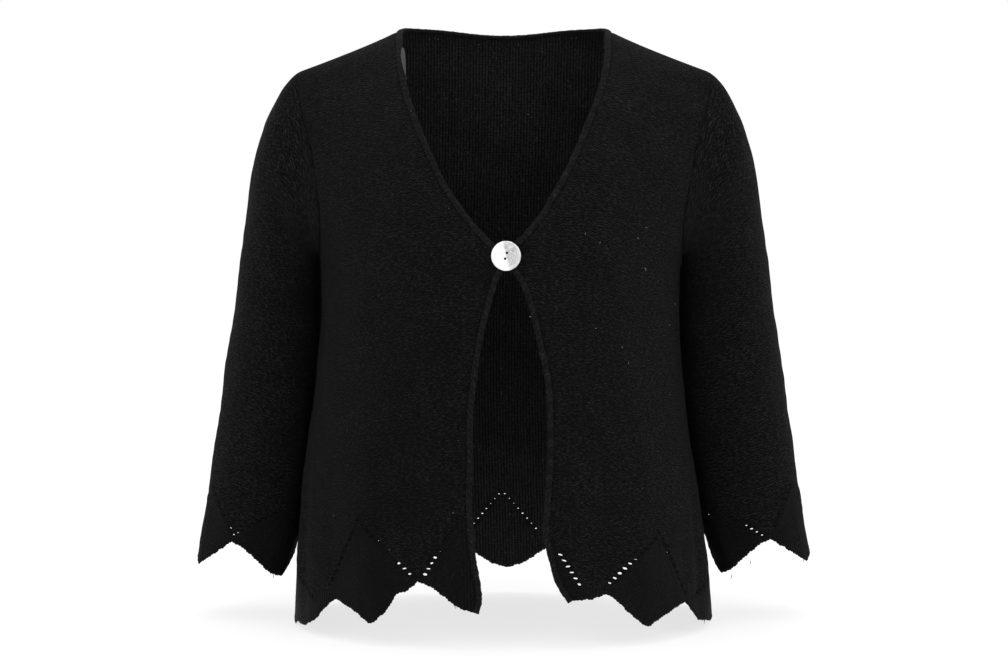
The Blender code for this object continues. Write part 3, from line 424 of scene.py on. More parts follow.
def sleeve_point(side, around, along):
    """The middle of the sleeve's wall; around is the flat distance from its outer line over the front."""
    degrees = np.degrees(np.asarray(around) / SLEEVE_FLAT_RADIUS)
    along = np.asarray(along, dtype=float)
    turn = np.abs((degrees + 180) % 360 - 180)
    front = (degrees + 180) % 360 >= 180
    seam = np.where(front[:, None], armhole_point(side, "front", turn), armhole_point(side, "back", turn))
    part = np.clip(1 - along / SLEEVE_BLEND, 0, 1)
    part = (part * part * (3 - 2 * part))[:, None]
    return sleeve_ring(side, degrees, along) + part * (seam - sleeve_ring(side, degrees, along * 0))


# ---------------------------------------------------------------- what the looks add to the form
PANEL_STEP = 0.0026           # spacing of the fine points inside a panel
SEAM_STEP = 0.0025            # and along its seams
FREE_STEP = 0.0011            # and along its free, lumpy edges
EYELET_LONG = 0.0023          # half the length of an eyelet that the yarn has pulled open
EYELET_SHORT = 0.0013
EYELET_POINTS = 12
EYELET_COLLAR = 0.0015        # width of the finely meshed collar round an eyelet
EYELET_ROUNDING = -0.00035    # how far an eyelet's rounded rim stands into it
EYELET_GROWTH = {"back": 0.52, "sleeve_left": 0.66, "sleeve_right": 0.66}  # some hang nearly closed
RIM_BEYOND = 0.0005           # how far a panel's rounded rim stands out of its outline: sewn rims meet
STITCH_WIDTH = 0.0044         # a stitch of the rough side
ROW_HEIGHT = 0.0026
RIB_WIDTH = 0.0031            # a column of stitches of the smooth side
SOFTNESS = {"point": 0.0048, "slope": 0.0060, "shelf": 0.0028, "valley": 0.0022, "notch": 0.0028, "end": 0.0}
LUMP_LENGTH = 0.0036          # one stitch's lump on a free edge
LUMP_HEIGHT = 0.00038
LUMP_UNEVENNESS = 0.0005
LUMP_FADE = 0.006             # the lumps die out this near to the ends of the edge
INNER_PAINTED_LIGHT = 3.5              # painted light: the inner side is painted this many times paler, standing in for the light that gets inside

SEAM_FADE = 0.016             # creases fade in over this distance from a seam
WAVINESS = ((0.0006, 0.075), (0.00022, 0.019))   # the cloth's own waves: height and size
MOTTLE = ((0.10, 0.05), (0.06, 0.012))           # the same of its tone
UNDER_RELIEF = 0.6            # the share of the relief that shows on the inner side
SEAM_PINCH = 0.00045          # the wall is thinner at its seams, over this reach
SEAM_PINCH_REACH = 0.0014
EDGE_REACH = 0.0016           # near a free edge the wall grows thinner, by this share of its square
EDGE_THINNING = 0.80

# Humps and grooves beside the lines of the cloth: how far off the line, their reach and their rise.
RELIEF = (
    # line        off     reach   rise
    ("seam",      0.0048, 0.0017, 0.00022),
    ("free",      0.0018, 0.0013, 0.00040),
    ("openwork",  0.0046, 0.0014, 0.00050),
    ("openwork",  0.0000, 0.0024, -0.00035),
)
# In the same way, what is added to the tone of the cloth there: painted shade in the dip along the openwork
# and along the seams, and a paler tone along the free edges.
LINE_PAINTED_SHADE_AND_EDGE_TONE = (
    # line        off     reach   tone
    ("openwork",  0.0000, 0.0026, -0.60),
    ("seam",      0.0000, 0.0014, -0.20),
    ("free",      0.0005, 0.0014, 0.45),
)

# Main creases, listed as soft troughs (height below 0) and ridges (above 0) on the flat cloth.
# On a sleeve, around runs from the outer line over the front, and its inner line is at 0.157.
FOLDS = {
    "front_left": (
        # around, down to around, down, width, height
        (-0.222, 0.300, -0.205, 0.420, 0.016, -0.0014),
        (-0.252, 0.420, -0.246, 0.600, 0.011,  0.0020),
        (-0.232, 0.480, -0.230, 0.600, 0.008, -0.0022),
        (-0.180, 0.470, -0.178, 0.585, 0.015, -0.0016),
        (-0.132, 0.430, -0.131, 0.610, 0.018,  0.0018),
        (-0.088, 0.480, -0.086, 0.585, 0.014, -0.0014),
        (-0.050, 0.330, -0.048, 0.600, 0.016,  0.0012),
        (-0.150, 0.215, -0.100, 0.262, 0.020,  0.0010),
    ),
    "front_right": (
        # around, down to around, down, width, height
        ( 0.226, 0.290,  0.208, 0.430, 0.017, -0.0014),
        ( 0.250, 0.440,  0.246, 0.600, 0.010,  0.0022),
        ( 0.229, 0.480,  0.225, 0.600, 0.008, -0.0024),
        ( 0.199, 0.490,  0.199, 0.585, 0.012, -0.0014),
        ( 0.147, 0.440,  0.143, 0.612, 0.018,  0.0020),
        ( 0.103, 0.470,  0.101, 0.588, 0.014, -0.0016),
        ( 0.066, 0.380,  0.070, 0.590, 0.014,  0.0012),
        ( 0.160, 0.205,  0.105, 0.255, 0.022,  0.0010),
    ),
    "back": (
        # around, down to around, down, width, height
        (-0.210, 0.285, -0.150, 0.345, 0.014, -0.0018),
        ( 0.205, 0.275,  0.140, 0.350, 0.016, -0.0020),
        (-0.120, 0.300,  0.060, 0.318, 0.016,  0.0014),
        (-0.060, 0.350,  0.130, 0.338, 0.014, -0.0012),
        ( 0.004, 0.470,  0.004, 0.620, 0.020,  0.0022),
        (-0.053, 0.470, -0.052, 0.592, 0.014, -0.0020),
        ( 0.053, 0.480,  0.052, 0.592, 0.014, -0.0018),
        (-0.106, 0.460, -0.104, 0.618, 0.018,  0.0020),
        ( 0.103, 0.450,  0.104, 0.618, 0.018,  0.0022),
        (-0.158, 0.470, -0.156, 0.588, 0.014, -0.0020),
        ( 0.157, 0.480,  0.156, 0.588, 0.014, -0.0018),
        (-0.216, 0.440, -0.215, 0.612, 0.018,  0.0018),
        ( 0.214, 0.440,  0.215, 0.612, 0.018,  0.0020),
        (-0.090, 0.085, -0.040, 0.130, 0.014, -0.0010),
        ( 0.095, 0.090,  0.045, 0.135, 0.014, -0.0009),
    ),
    "sleeve_left": (
        # around, down to around, down, width, height
        ( 0.128, 0.100,  0.080, 0.165, 0.013, -0.0018),
        ( 0.132, 0.140,  0.070, 0.205, 0.012,  0.0014),
        ( 0.136, 0.185,  0.085, 0.235, 0.011, -0.0014),
        (-0.120, 0.110, -0.070, 0.180, 0.013, -0.0018),
        (-0.126, 0.170, -0.075, 0.220, 0.012,  0.0014),
        ( 0.062, 0.300,  0.062, 0.398, 0.014, -0.0016),
        ( 0.120, 0.310,  0.120, 0.420, 0.014,  0.0016),
        ( 0.021, 0.290,  0.021, 0.430, 0.014,  0.0016),
        (-0.037, 0.300, -0.037, 0.400, 0.013, -0.0016),
        (-0.089, 0.310, -0.089, 0.425, 0.014,  0.0016),
    ),
    "sleeve_right": (
        # around, down to around, down, width, height
        ( 0.126, 0.095,  0.078, 0.155, 0.014, -0.0018),
        ( 0.130, 0.150,  0.074, 0.212, 0.012,  0.0014),
        ( 0.134, 0.195,  0.082, 0.250, 0.012, -0.0014),
        (-0.118, 0.105, -0.068, 0.170, 0.014, -0.0018),
        (-0.124, 0.165, -0.078, 0.225, 0.012,  0.0014),
        ( 0.062, 0.310,  0.062, 0.398, 0.014, -0.0016),
        ( 0.120, 0.300,  0.120, 0.420, 0.014,  0.0016),
        ( 0.021, 0.300,  0.021, 0.430, 0.014,  0.0016),
        (-0.037, 0.310, -0.037, 0.400, 0.013, -0.0016),
        (-0.089, 0.300, -0.089, 0.425, 0.014,  0.0016),
    ),
}

# Painted light and shade: places where the cloth is painted paler, as if lit, or darker, as if in shade, than
# its form gives.
PAINTED_LIGHT_AND_SHADE = {
    # around, down, reach, tone
    "front_left": (
        (-0.2560, 0.6060, 0.026, 5.5),
        (-0.2300, 0.6050, 0.018, 1.5),
        (-0.1500, 0.3300, 0.150, 0.66),
        (-0.1200, 0.5000, 0.120, 0.70),
        (-0.1600, 0.0200, 0.060, 0.72),
    ),
    "front_right": (
        (0.1600, 0.0200, 0.060, 0.72),
        (0.1300, 0.4000, 0.170, 0.82),
        (0.2450, 0.6050, 0.026, 1.5),
    ),
}


def hump(distance, reach, middle=0.0):
    """1 at the middle distance, falling softly to 0 beyond the reach."""
    return np.exp(-((distance - middle) / reach) ** 2)


def segment_distance(points, start, end):
    """How far flat points are from a line between two places, and how far along it they are, 0 to 1."""
    start, run = np.array(start), np.array(end) - np.array(start)
    along = np.clip(((points - start) @ run) / (run @ run), 0, 1)
    return np.linalg.norm(points - start - along[:, None] * run, axis=1), along


def uneven(points, size, seed):
    """A smooth random unevenness, about -1 to 1, with waves of this size."""
    shuffle = np.random.default_rng(seed)
    total = np.zeros(len(points))
    for _ in range(7):
        turn = shuffle.uniform(0, 2 * math.pi)
        wave = size * shuffle.uniform(0.6, 1.6)
        heading = np.array([math.cos(turn), math.sin(turn)]) * 2 * math.pi / wave
        total += np.sin(points @ heading + shuffle.uniform(0, 2 * math.pi))
    return total / 3.2


def uneven_run(run, size, seed):
    """The same unevenness along a line."""
    return uneven(np.stack([run, run * 0], axis=1), size, seed)


def fold_height(piece, flat, seed):
    """How far the cloth stands off its form."""
    height = sum(rise * uneven(flat, size, seed + n) for n, (rise, size) in enumerate(WAVINESS))
    # a sleeve's creases are also laid one turn before and after, so that they run on over its inner line
    laps = (-1, 0, 1) if piece.startswith("sleeve") else (0,)
    for a0, d0, a1, d1, width, rise in FOLDS[piece]:
        for lap in laps:
            shift = lap * 2 * SLEEVE_HALF_TURN
            apart, along = segment_distance(flat, (a0 + shift, d0), (a1 + shift, d1))
            swell = 0.45 + 0.55 * np.sin(math.pi * (0.15 + 0.7 * along))
            height += rise * hump(apart, width) * swell
    return height


def painted_light_and_shade_at(piece, flat):
    """How much paler (painted light) or darker (painted shade) the cloth is painted at its flat places."""
    tone = np.ones(len(flat))
    for around, down, reach, change in PAINTED_LIGHT_AND_SHADE.get(piece, ()):
        tone += (change - 1) * hump(np.hypot(flat[:, 0] - around, flat[:, 1] - down), reach)
    return tone


def summed(table, away):
    """The sum of a table's humps, by the distances of all places from each kind of line."""
    return sum(rise * hump(away[line], reach, off) for line, off, reach, rise in table)


# ---------------------------------------------------------------- fine meshing
def run_along(path):
    """How far along a line of places each of them is."""
    return np.concatenate([[0], np.cumsum(np.linalg.norm(np.diff(path, axis=0), axis=1))])


def evenly(run, step):
    """Even distances along a run, about a step apart."""
    return np.linspace(0, run[-1], round(run[-1] / step) + 1)


def places_at(at, run, places):
    return np.stack([np.interp(at, run, places[:, n]) for n in (0, 1)], axis=1)


def resample(outline, step):
    """Evenly spaced places round a closed outline."""
    closed = np.vstack([outline, outline[:1]])
    run = run_along(closed)
    return places_at(evenly(run, step), run, closed)


def soften(rows):
    """A free edge through (feature, around, down) rows, rounded as its features ask, with small lumps."""
    fine = 0.0004
    places = np.array([[row[1], row[2]] for row in rows])
    run = run_along(places)
    at = evenly(run, fine)
    line = places_at(at, run, places)
    to_end = np.minimum(at, run[-1] - at)
    radius = np.minimum(np.interp(at, run, [SOFTNESS[row[0]] for row in rows]), to_end)
    sums = np.vstack([[0, 0], np.cumsum(line, axis=0)])
    low = np.clip(np.round((at - radius) / fine).astype(int), 0, len(at) - 1)
    high = np.clip(np.round((at + radius) / fine).astype(int), 0, len(at) - 1) + 1
    smooth = (sums[high] - sums[low]) / (high - low)[:, None]
    lump = LUMP_HEIGHT * np.sin(2 * math.pi * at / LUMP_LENGTH) + LUMP_UNEVENNESS * uneven_run(at, 0.011, 3)
    lump *= np.clip(to_end / LUMP_FADE, 0, 1)
    heading = np.gradient(smooth, axis=0)
    across = np.stack([heading[:, 1], -heading[:, 0]], axis=1)
    across /= np.maximum(np.linalg.norm(across, axis=1), 1e-9)[:, None]
    pick = np.round(np.linspace(0, len(at) - 1, round(run[-1] / FREE_STEP) + 1)).astype(int)
    return (smooth + across * lump[:, None])[pick]


def signed_area(outline):
    """The area inside a closed flat outline, above 0 where it runs counter-clockwise."""
    x, y = np.asarray(outline).T
    return (x * np.roll(y, -1) - np.roll(x, -1) * y).sum() / 2


def inside(outline, points):
    """Whether each flat point lies inside a closed outline."""
    result = np.zeros(len(points), dtype=bool)
    x0, y0 = outline[:, 0][None, :], outline[:, 1][None, :]
    x1, y1 = np.roll(x0, -1, axis=1), np.roll(y0, -1, axis=1)
    for first in range(0, len(points), 2000):
        x = points[first:first + 2000, 0][:, None]
        y = points[first:first + 2000, 1][:, None]
        crosses = (y0 > y) != (y1 > y)
        reach = x0 + (y - y0) * (x1 - x0) / np.where(y1 == y0, 1e-12, y1 - y0)
        result[first:first + 2000] = (crosses & (x < reach)).sum(axis=1) % 2 == 1
    return result


def tree_of(points):
    tree = KDTree(len(points))
    for n, point in enumerate(points):
        tree.insert((point[0], point[1], 0), n)
    tree.balance()
    return tree


def distance_to(tree, points):
    return np.array([tree.find((x, y, 0))[2] for x, y in points])


def grid_inside(outline, step):
    """A staggered grid of flat points inside a closed outline."""
    start, end = outline, np.roll(outline, -1, axis=0)
    low, high = outline.min(axis=0), outline.max(axis=0)
    rows = []
    for n, y in enumerate(np.arange(low[1] + step / 2, high[1], step * 0.866)):
        crossing = (start[:, 1] > y) != (end[:, 1] > y)
        a, b = start[crossing], end[crossing]
        cuts = np.sort(a[:, 0] + (y - a[:, 1]) * (b[:, 0] - a[:, 0]) / (b[:, 1] - a[:, 1]))
        across = np.arange(low[0] + n % 2 * step / 2, high[0], step)
        across = across[np.searchsorted(cuts, across) % 2 == 1]
        rows.append(np.stack([across, np.full(len(across), y)], axis=1))
    return np.vstack(rows)


def eyelet_ring(centre, grow, growth):
    """Points round one eyelet, which lies along its knitted row with a lean of its own."""
    shuffle = np.random.default_rng(int(abs(centre[0]) * 1e5) + int(centre[1] * 1e6))
    lean = shuffle.uniform(-0.35, 0.35)
    size = shuffle.uniform((0.75, 0.68), (1.15, 1.10)) * growth ** shuffle.uniform(0.6, 1.9)
    turn = np.arange(EYELET_POINTS) * 2 * math.pi / EYELET_POINTS
    x = np.cos(turn) * (EYELET_LONG * size[0] + grow)
    y = np.sin(turn) * (EYELET_SHORT * size[1] + grow)
    across = x * math.cos(lean) - y * math.sin(lean)
    fall = x * math.sin(lean) + y * math.cos(lean)
    return centre + np.stack([across, fall], axis=1)


def eyelet_rings(centres, grow, growth):
    return np.array([eyelet_ring(centre, grow, growth) for centre in centres]).reshape(-1, 2)


def eyelet_centres(rows, outline):
    """The centres of the eyelets of every row that are clear of the outline."""
    centres = []
    tree = tree_of(resample(outline, 0.001))
    for start, end, steps, tip in rows:
        start, end = np.array(start), np.array(end)
        for n in range(steps + tip):
            centre = start + (end - start) * (n / steps)
            if inside(outline, centre[None, :])[0] and distance_to(tree, centre[None, :])[0] > EYELET_MARGIN:
                centres.append(centre)
    return np.array(centres)


def triangulated(flat, loops):
    """Triangles over flat points: inside the first closed loop of them and outside all the others."""
    edges = [(loop[n], loop[(n + 1) % len(loop)]) for loop in loops for n in range(len(loop))]
    _, _, faces, origins = delaunay_2d_cdt([Vector(p) for p in flat * 1000], edges, [], 0, 1e-6, True)[:4]
    faces = np.array([origin[0] for origin in origins])[np.array(faces)]
    loop_of = np.full(len(flat), -1)
    for number, loop in enumerate(loops):
        loop_of[list(loop)] = number
    one_loop = (loop_of[faces] == loop_of[faces[:, :1]]).all(axis=1)
    faces = faces[~(one_loop & (loop_of[faces[:, 0]] > 0))]
    doubtful = np.flatnonzero((loop_of[faces] == 0).all(axis=1))
    keep = np.ones(len(faces), dtype=bool)
    keep[doubtful] = inside(flat[list(loops[0])], flat[faces[doubtful]].mean(axis=1))
    return faces[keep]


def surface_of(point_at, flat, facing):
    """The middle points and outward normals of a wall at its flat places."""
    step = 0.0012
    around, down = flat[:, 0], flat[:, 1]
    middle = point_at(around, down)
    side = point_at(around + step, down) - point_at(around - step, down)
    fall = point_at(around, down + step) - point_at(around, np.maximum(down - step, 0))
    normal = np.cross(side, fall) * facing
    return middle, normal / np.linalg.norm(normal, axis=1)[:, None]


def new_piece(name, points, triangles, flat=None, values=None, materials=(), smooth=True):
    """A mesh object, with its flat places as UV and named numbers for its material."""
    mesh = bpy.data.meshes.new(name)
    mesh.from_pydata(np.asarray(points, dtype=float).tolist(), [], np.asarray(triangles).tolist())
    for material in materials:
        mesh.materials.append(material)
    if flat is not None:
        corners = np.empty(len(mesh.loops), dtype=np.int32)
        mesh.loops.foreach_get("vertex_index", corners)
        layer = mesh.uv_layers.new(name="stitches")
        layer.data.foreach_set("uv", np.asarray(flat, dtype=np.float32)[corners].ravel())
    for key, numbers in (values or {}).items():
        layer = mesh.attributes.new(key, "FLOAT", "POINT")
        layer.data.foreach_set("value", np.asarray(numbers, dtype=np.float32))
    if smooth:
        mesh.shade_smooth()
    obj = bpy.data.objects.new(name, mesh)
    bpy.context.scene.collection.objects.link(obj)
    return obj


def stitch_places(flat, rows):
    """Where each flat place is in its knitting: under the openwork the columns lean with the eyelet rows."""
    place = flat.copy()
    for start, end, _, _ in rows:
        low, high = (start, end) if start[0] < end[0] else (end, start)
        under = (flat[:, 0] >= low[0]) & (flat[:, 0] < high[0])
        slope = (high[0] - low[0]) / (high[1] - low[1])
        line = np.interp(flat[:, 0], [low[0], high[0]], [low[1], high[1]])
        below = under & (flat[:, 1] > line + 0.0005)
        place[below, 0] = flat[below, 0] - slope * 0.8 * (flat[below, 1] - low[1])
    return place


def smooth_side(flat, rows):
    """1 below the zigzag line of the openwork, where the knit is smooth, and 0 above it."""
    ends = np.array(sorted({tuple(place) for start, end, _, _ in rows for place in (start, end)}))
    line = np.interp(flat[:, 0], ends[:, 0], ends[:, 1])
    return np.clip((flat[:, 1] - line - 0.001) / 0.002, 0, 1)


def facing_out(faces, flat, points, normal):
    """The triangles, all turned the same way on the flat cloth, so that they face along the normals."""
    first, second = flat[faces[:, 1]] - flat[faces[:, 0]], flat[faces[:, 2]] - flat[faces[:, 0]]
    clockwise = first[:, 0] * second[:, 1] < first[:, 1] * second[:, 0]
    faces[clockwise] = faces[clockwise][:, ::-1]
    corners = points[faces]
    turned = np.cross(corners[:, 1] - corners[:, 0], corners[:, 2] - corners[:, 0])
    agreement = (turned * normal[faces].sum(axis=1)).sum()
    return faces if agreement > 0 else faces[:, ::-1]


def closed_shell(faces, total, weld):
    """The triangles of a wall with a rounded rim, over its outer points, its under points and the rim's.

    faces are those of the outer side, and total is the number of its points.
    """
    rim = 2 * total
    same = np.arange(3 * total)
    for keep_point, drop_point in weld:
        for layer in (0, total, rim):
            same[layer + drop_point] = layer + keep_point
    faces = same[faces]
    a, b = faces.ravel(), faces[:, [1, 2, 0]].ravel()
    alone = ~np.isin(a * total + b, b * total + a)
    a, b = a[alone], b[alone]
    rim_a, rim_b = same[rim + a], same[rim + b]
    under_a, under_b = same[total + a], same[total + b]
    return np.vstack([
        faces,
        same[faces + total][:, ::-1],
        np.stack([b, a, rim_a], 1), np.stack([b, rim_a, rim_b], 1),
        np.stack([rim_b, rim_a, under_a], 1), np.stack([rim_b, under_a, under_b], 1),
    ])


def panel(name, outline, free, rows, apart, material, seed, weld=()):
    """One cloth piece: a fine closed shell over a flat outline, with its eyelets, seams and creases.

    free says which outline points lie on an edge that nothing is sewn to. weld pairs outline points that
    are one place, on a tube. apart moves the wall forwards or backwards off the seams of front and back.
    """
    point_at, facing, _ = SURFACES[name]
    growth = EYELET_GROWTH.get(name, 1.0)
    centres = eyelet_centres(rows, outline)
    rings = eyelet_rings(centres, 0.0, growth)
    collars = eyelet_rings(centres, EYELET_COLLAR, growth)
    inner = grid_inside(outline, PANEL_STEP)
    edge_tree = tree_of(np.vstack([outline, rings, collars]))
    inner = inner[distance_to(edge_tree, inner) > PANEL_STEP * 0.5]
    flat = np.vstack([outline, rings, collars, inner])
    count, rim_count, total = len(outline), len(outline) + len(rings), len(flat)
    loops = [range(count)]
    loops += [range(first, first + EYELET_POINTS) for first in range(count, rim_count, EYELET_POINTS)]
    faces = triangulated(flat, loops)

    # heights and thicknesses
    middle, normal = surface_of(point_at, flat, facing)
    away = {
        "free": distance_to(tree_of(np.vstack([resample_runs(outline, free), rings])), flat),
        "seam": distance_to(tree_of(resample_runs(outline, ~free)), flat),
        "openwork": np.min([segment_distance(flat, start, end)[0] for start, end, _, _ in rows], axis=0),
    }
    height = fold_height(name, flat, seed) * (1 - hump(away["seam"], SEAM_FADE))
    thinning = EDGE_THINNING * np.clip(1 - away["free"] / EDGE_REACH, 0, 1) ** 2
    half = WALL / 2 * np.sqrt(1 - thinning) - SEAM_PINCH * hump(away["seam"], SEAM_PINCH_REACH)
    raised = summed(RELIEF, away)
    outer = middle + normal * (height + half + raised)[:, None]
    under = middle + normal * (height - half - raised * UNDER_RELIEF)[:, None]

    # the rounded rim: a line of points between the two faces, beyond the outline and into the eyelets
    rim_flat = np.vstack([
        outline + outward(outline) * RIM_BEYOND,
        eyelet_rings(centres, EYELET_ROUNDING * growth, growth),
    ])
    rim_middle, rim_normal = surface_of(point_at, rim_flat, facing)
    points = np.vstack([outer, under, rim_middle + rim_normal * height[:rim_count, None]])
    points[:, 1] += apart
    triangles = closed_shell(facing_out(faces, flat, outer, normal), total, weld)
    used, triangles = np.unique(triangles, return_inverse=True)

    plain = smooth_side(flat, rows)
    # the tone carries painted shade along the openwork and seams, painted light and shade in patches, and
    # random mottling
    tone = (1 + summed(LINE_PAINTED_SHADE_AND_EDGE_TONE, away)) * painted_light_and_shade_at(name, flat)
    tone += sum(change * uneven(flat, size, seed + 5 + n) for n, (change, size) in enumerate(MOTTLE))
    stitches = stitch_places(flat, rows)
    values = {
        "plain": np.concatenate([plain, np.ones(total), plain[:rim_count]])[used],
        # painted light: the inner side's tone is raised several times
        "tone": np.concatenate([tone, tone * INNER_PAINTED_LIGHT, tone[:rim_count]])[used],
    }
    places = np.vstack([stitches, flat, stitches[:rim_count]])[used]
    obj = new_piece(name + "_cloth", points[used], triangles.reshape(-1, 3), places, values, [material])
    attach(obj, "root")
    return obj


def outward(outline):
    """The outward direction at each point of a counter-clockwise outline."""
    run = np.roll(outline, -1, axis=0) - np.roll(outline, 1, axis=0)
    out = np.stack([run[:, 1], -run[:, 0]], axis=1)
    return out / np.linalg.norm(out, axis=1)[:, None]


def resample_runs(outline, chosen):
    """Close places along the sides of the outline that are of the chosen kind."""
    following = np.roll(outline, -1, axis=0)
    both = chosen & np.roll(chosen, -1)
    parts = [outline[chosen]]
    for part in (0.25, 0.5, 0.75):
        parts.append(outline[both] * (1 - part) + following[both] * part)
    return np.vstack(parts)


# ---------------------------------------------------------------- the cut edges of the cloth
def smooth_path(rows, step):
    """Places evenly spaced, about a step apart, on a smooth line through the rows."""
    rows = np.array(rows)
    run = run_along(rows)
    at = evenly(run, step)
    return np.stack([smooth_column(run, rows[:, n])(at) for n in (0, 1)], axis=1)


def sideways(path, side):
    """The directions across the cloth, towards the piece that lies on this side of the path."""
    run = np.gradient(path, axis=0)
    across = np.stack([run[:, 1], -run[:, 0]], axis=1) * side
    return across / np.linalg.norm(across, axis=1)[:, None]


def inset_path(path, amount, side):
    return path + sideways(path, side) * amount


def front_edge(side, step):
    """The finished edge of a front, from the shoulder seam down to the hem."""
    rows = RIGHT_EDGE if side > 0 else LEFT_EDGE
    path = smooth_path([(side * around, down) for down, around in rows], step)
    path[0, 1] += SEAM_GAP / 2
    return path


def back_neck_edge(steps):
    """The finished edge of the back neckline, from the left shoulder seam to the right one."""
    turn = np.linspace(-math.pi, 0, steps)
    path = np.stack([NECK_HALF_WIDTH * np.cos(turn), -BACK_NECK_DEPTH * np.sin(turn)], axis=1)
    path[[0, -1], 1] += SEAM_GAP / 2
    return path


def front_surface(side):
    """The form of one front; behind the button the two fronts lap, the left one outside."""
    def point_at(around, down):
        points = body_point("front", around, down)
        near = np.exp(-((around - LAP_AROUND) / LAP_REACH) ** 2 - ((down - LAP_DOWN) / LAP_REACH) ** 4)
        points[:, 1] += side * LAP * near
        return points
    return point_at


# The form of every cloth piece, the side of it that its flat normals face, and 1 where the outer side is
# the one that shows, or -1 for the inner side.
SURFACES = {
    "front_left": (front_surface(-1), -1, 1),
    "front_right": (front_surface(1), -1, 1),
    "back": (partial(body_point, "back"), 1, -1),
    "sleeve_left": (partial(sleeve_point, -1), -1, 1),
    "sleeve_right": (partial(sleeve_point, 1), 1, 1),
}


def joined(runs):
    """One closed outline, counter-clockwise, from runs of flat points, each free or sewn."""
    outline = np.vstack([points for points, _ in runs])
    free = np.concatenate([np.full(len(points), is_free) for points, is_free in runs])
    apart = np.linalg.norm(outline - np.roll(outline, 1, axis=0), axis=1) > 0.0003
    outline, free = outline[apart], free[apart]
    if signed_area(outline) < 0:
        outline, free = outline[::-1], free[::-1]
    return outline, free


def shoulder_run(side):
    start = NECK_HALF_WIDTH + EDGING_WIDTH + SEAM_GAP / 2
    end = float(armhole_flat("front", np.array([0.0]))[0][0])
    across = np.linspace(start, end, round((end - start) / SEAM_STEP) + 1)[:-1]
    return np.stack([side * across, across * 0 + SEAM_GAP / 2], axis=1)


def armhole_run(side, depth):
    around, down = armhole_flat(depth, np.linspace(0, 180, 91))
    return np.stack([side * (around - SEAM_GAP / 2), np.maximum(down, SEAM_GAP / 2)], axis=1)


def side_run(side, depth):
    down = np.linspace(ARMHOLE_DEPTH, SEAM_HEM_DOWN, 150)[1:]
    return np.stack([side * (quarter(depth, down) - SEAM_GAP / 2), down], axis=1)


def hem_run(side, depth, hem, last, shift=0.0):
    """The zigzag hem from the side seam to its last place at the front edge or the centre back."""
    start = ("end", side * (float(quarter(depth, SEAM_HEM_DOWN)) - SEAM_GAP / 2), SEAM_HEM_DOWN)
    rows = [(feature, side * around + shift, down) for feature, around, down in reversed(hem)]
    return soften([start] + rows + [last])[1:]


def signed_rows(table, side):
    return [((side * a0, d0), (side * a1, d1), steps, tip) for a0, d0, a1, d1, steps, tip in table]


# ---------------------------------------------------------------- materials
class Value:
    """A node's output. Sums and products of it are made by nodes of their own."""

    def __init__(self, look, socket):
        self.look = look
        self.socket = socket

    def __add__(self, other):
        return self.look.math("ADD", self, other)

    def __sub__(self, other):
        return self.look.math("SUBTRACT", self, other)

    def __rsub__(self, other):
        return self.look.math("SUBTRACT", other, self)

    def __mul__(self, other):
        return self.look.math("MULTIPLY", self, other)

    def __truediv__(self, other):
        return self.look.math("DIVIDE", self, other)


class Look:
    """A material and short ways to add nodes to it."""

    def __init__(self, name):
        self.material = bpy.data.materials.new(name)
        self.material.use_nodes = True
        self.nodes = self.material.node_tree.nodes
        self.links = self.material.node_tree.links
        self.shader = self.nodes["Principled BSDF"]

    def plug(self, socket, value):
        """Links a node's output to a socket, or sets the socket to a number."""
        if isinstance(value, Value):
            self.links.new(value.socket, socket)
        else:
            socket.default_value = value

    def set(self, **sockets):
        """Fills the shader's own sockets; an underscore stands for a space."""
        for key, value in sockets.items():
            self.plug(self.shader.inputs[key.replace("_", " ")], value)

    def node(self, kind, output, sockets, **settings):
        """Adds a node with these settings and filled sockets, and gives one of its outputs."""
        node = self.nodes.new(kind)
        for key, value in settings.items():
            setattr(node, key, value)
        for key, value in sockets.items():
            self.plug(node.inputs[key], value)
        return Value(self, node.outputs[output])

    def math(self, operation, *values, clamp=False):
        return self.node("ShaderNodeMath", 0, dict(enumerate(values)), operation=operation, use_clamp=clamp)

    def noise(self, place, scale, detail=2.0, roughness=0.5):
        sockets = {"Vector": place, "Scale": scale, "Detail": detail, "Roughness": roughness}
        return self.node("ShaderNodeTexNoise", "Fac", sockets)

    def stretched(self, place, across, down):
        """The flat place with its two parts scaled, so that noise on it is wider or taller."""
        sockets = {0: place, 1: (across, down, 1)}
        return self.node("ShaderNodeVectorMath", "Vector", sockets, operation="MULTIPLY")

    def wave(self, phase):
        """A sine of a phase that is counted in whole turns."""
        return self.math("SINE", phase * (2 * math.pi))

    def steps(self, value, low, high):
        """Rises smoothly from 0 to 1 while the value goes from low to high."""
        sockets = {"Value": value, "From Min": low, "From Max": high}
        return self.node("ShaderNodeMapRange", "Result", sockets, interpolation_type="SMOOTHSTEP")

    def mix(self, part, first, second):
        """A colour between two others, each of them a node's output or (red, green, blue)."""
        sockets = {0: part}
        for number, colour in ((6, first), (7, second)):
            sockets[number] = colour if isinstance(colour, Value) else (*colour, 1)
        return self.node("ShaderNodeMix", 2, sockets, data_type="RGBA")

    def scaled(self, colour, by):
        return self.node("ShaderNodeVectorMath", "Vector", {0: colour, "Scale": by}, operation="SCALE")

    def attribute(self, name):
        return self.node("ShaderNodeAttribute", "Fac", {}, attribute_name=name)

    def object_place(self):
        return self.node("ShaderNodeTexCoord", "Object", {})

    def flat_place(self):
        """The flat place in metres, and its two parts."""
        place = self.node("ShaderNodeUVMap", "UV", {}, uv_map="stitches")
        parts = self.nodes.new("ShaderNodeSeparateXYZ")
        self.plug(parts.inputs[0], place)
        return place, Value(self, parts.outputs["X"]), Value(self, parts.outputs["Y"])

    def bump(self, height, distance, strength=1.0):
        sockets = {"Strength": strength, "Distance": distance, "Height": height}
        self.set(Normal=self.node("ShaderNodeBump", "Normal", sockets))


SHEEN = (0.56, 0.56, 0.57, 1)


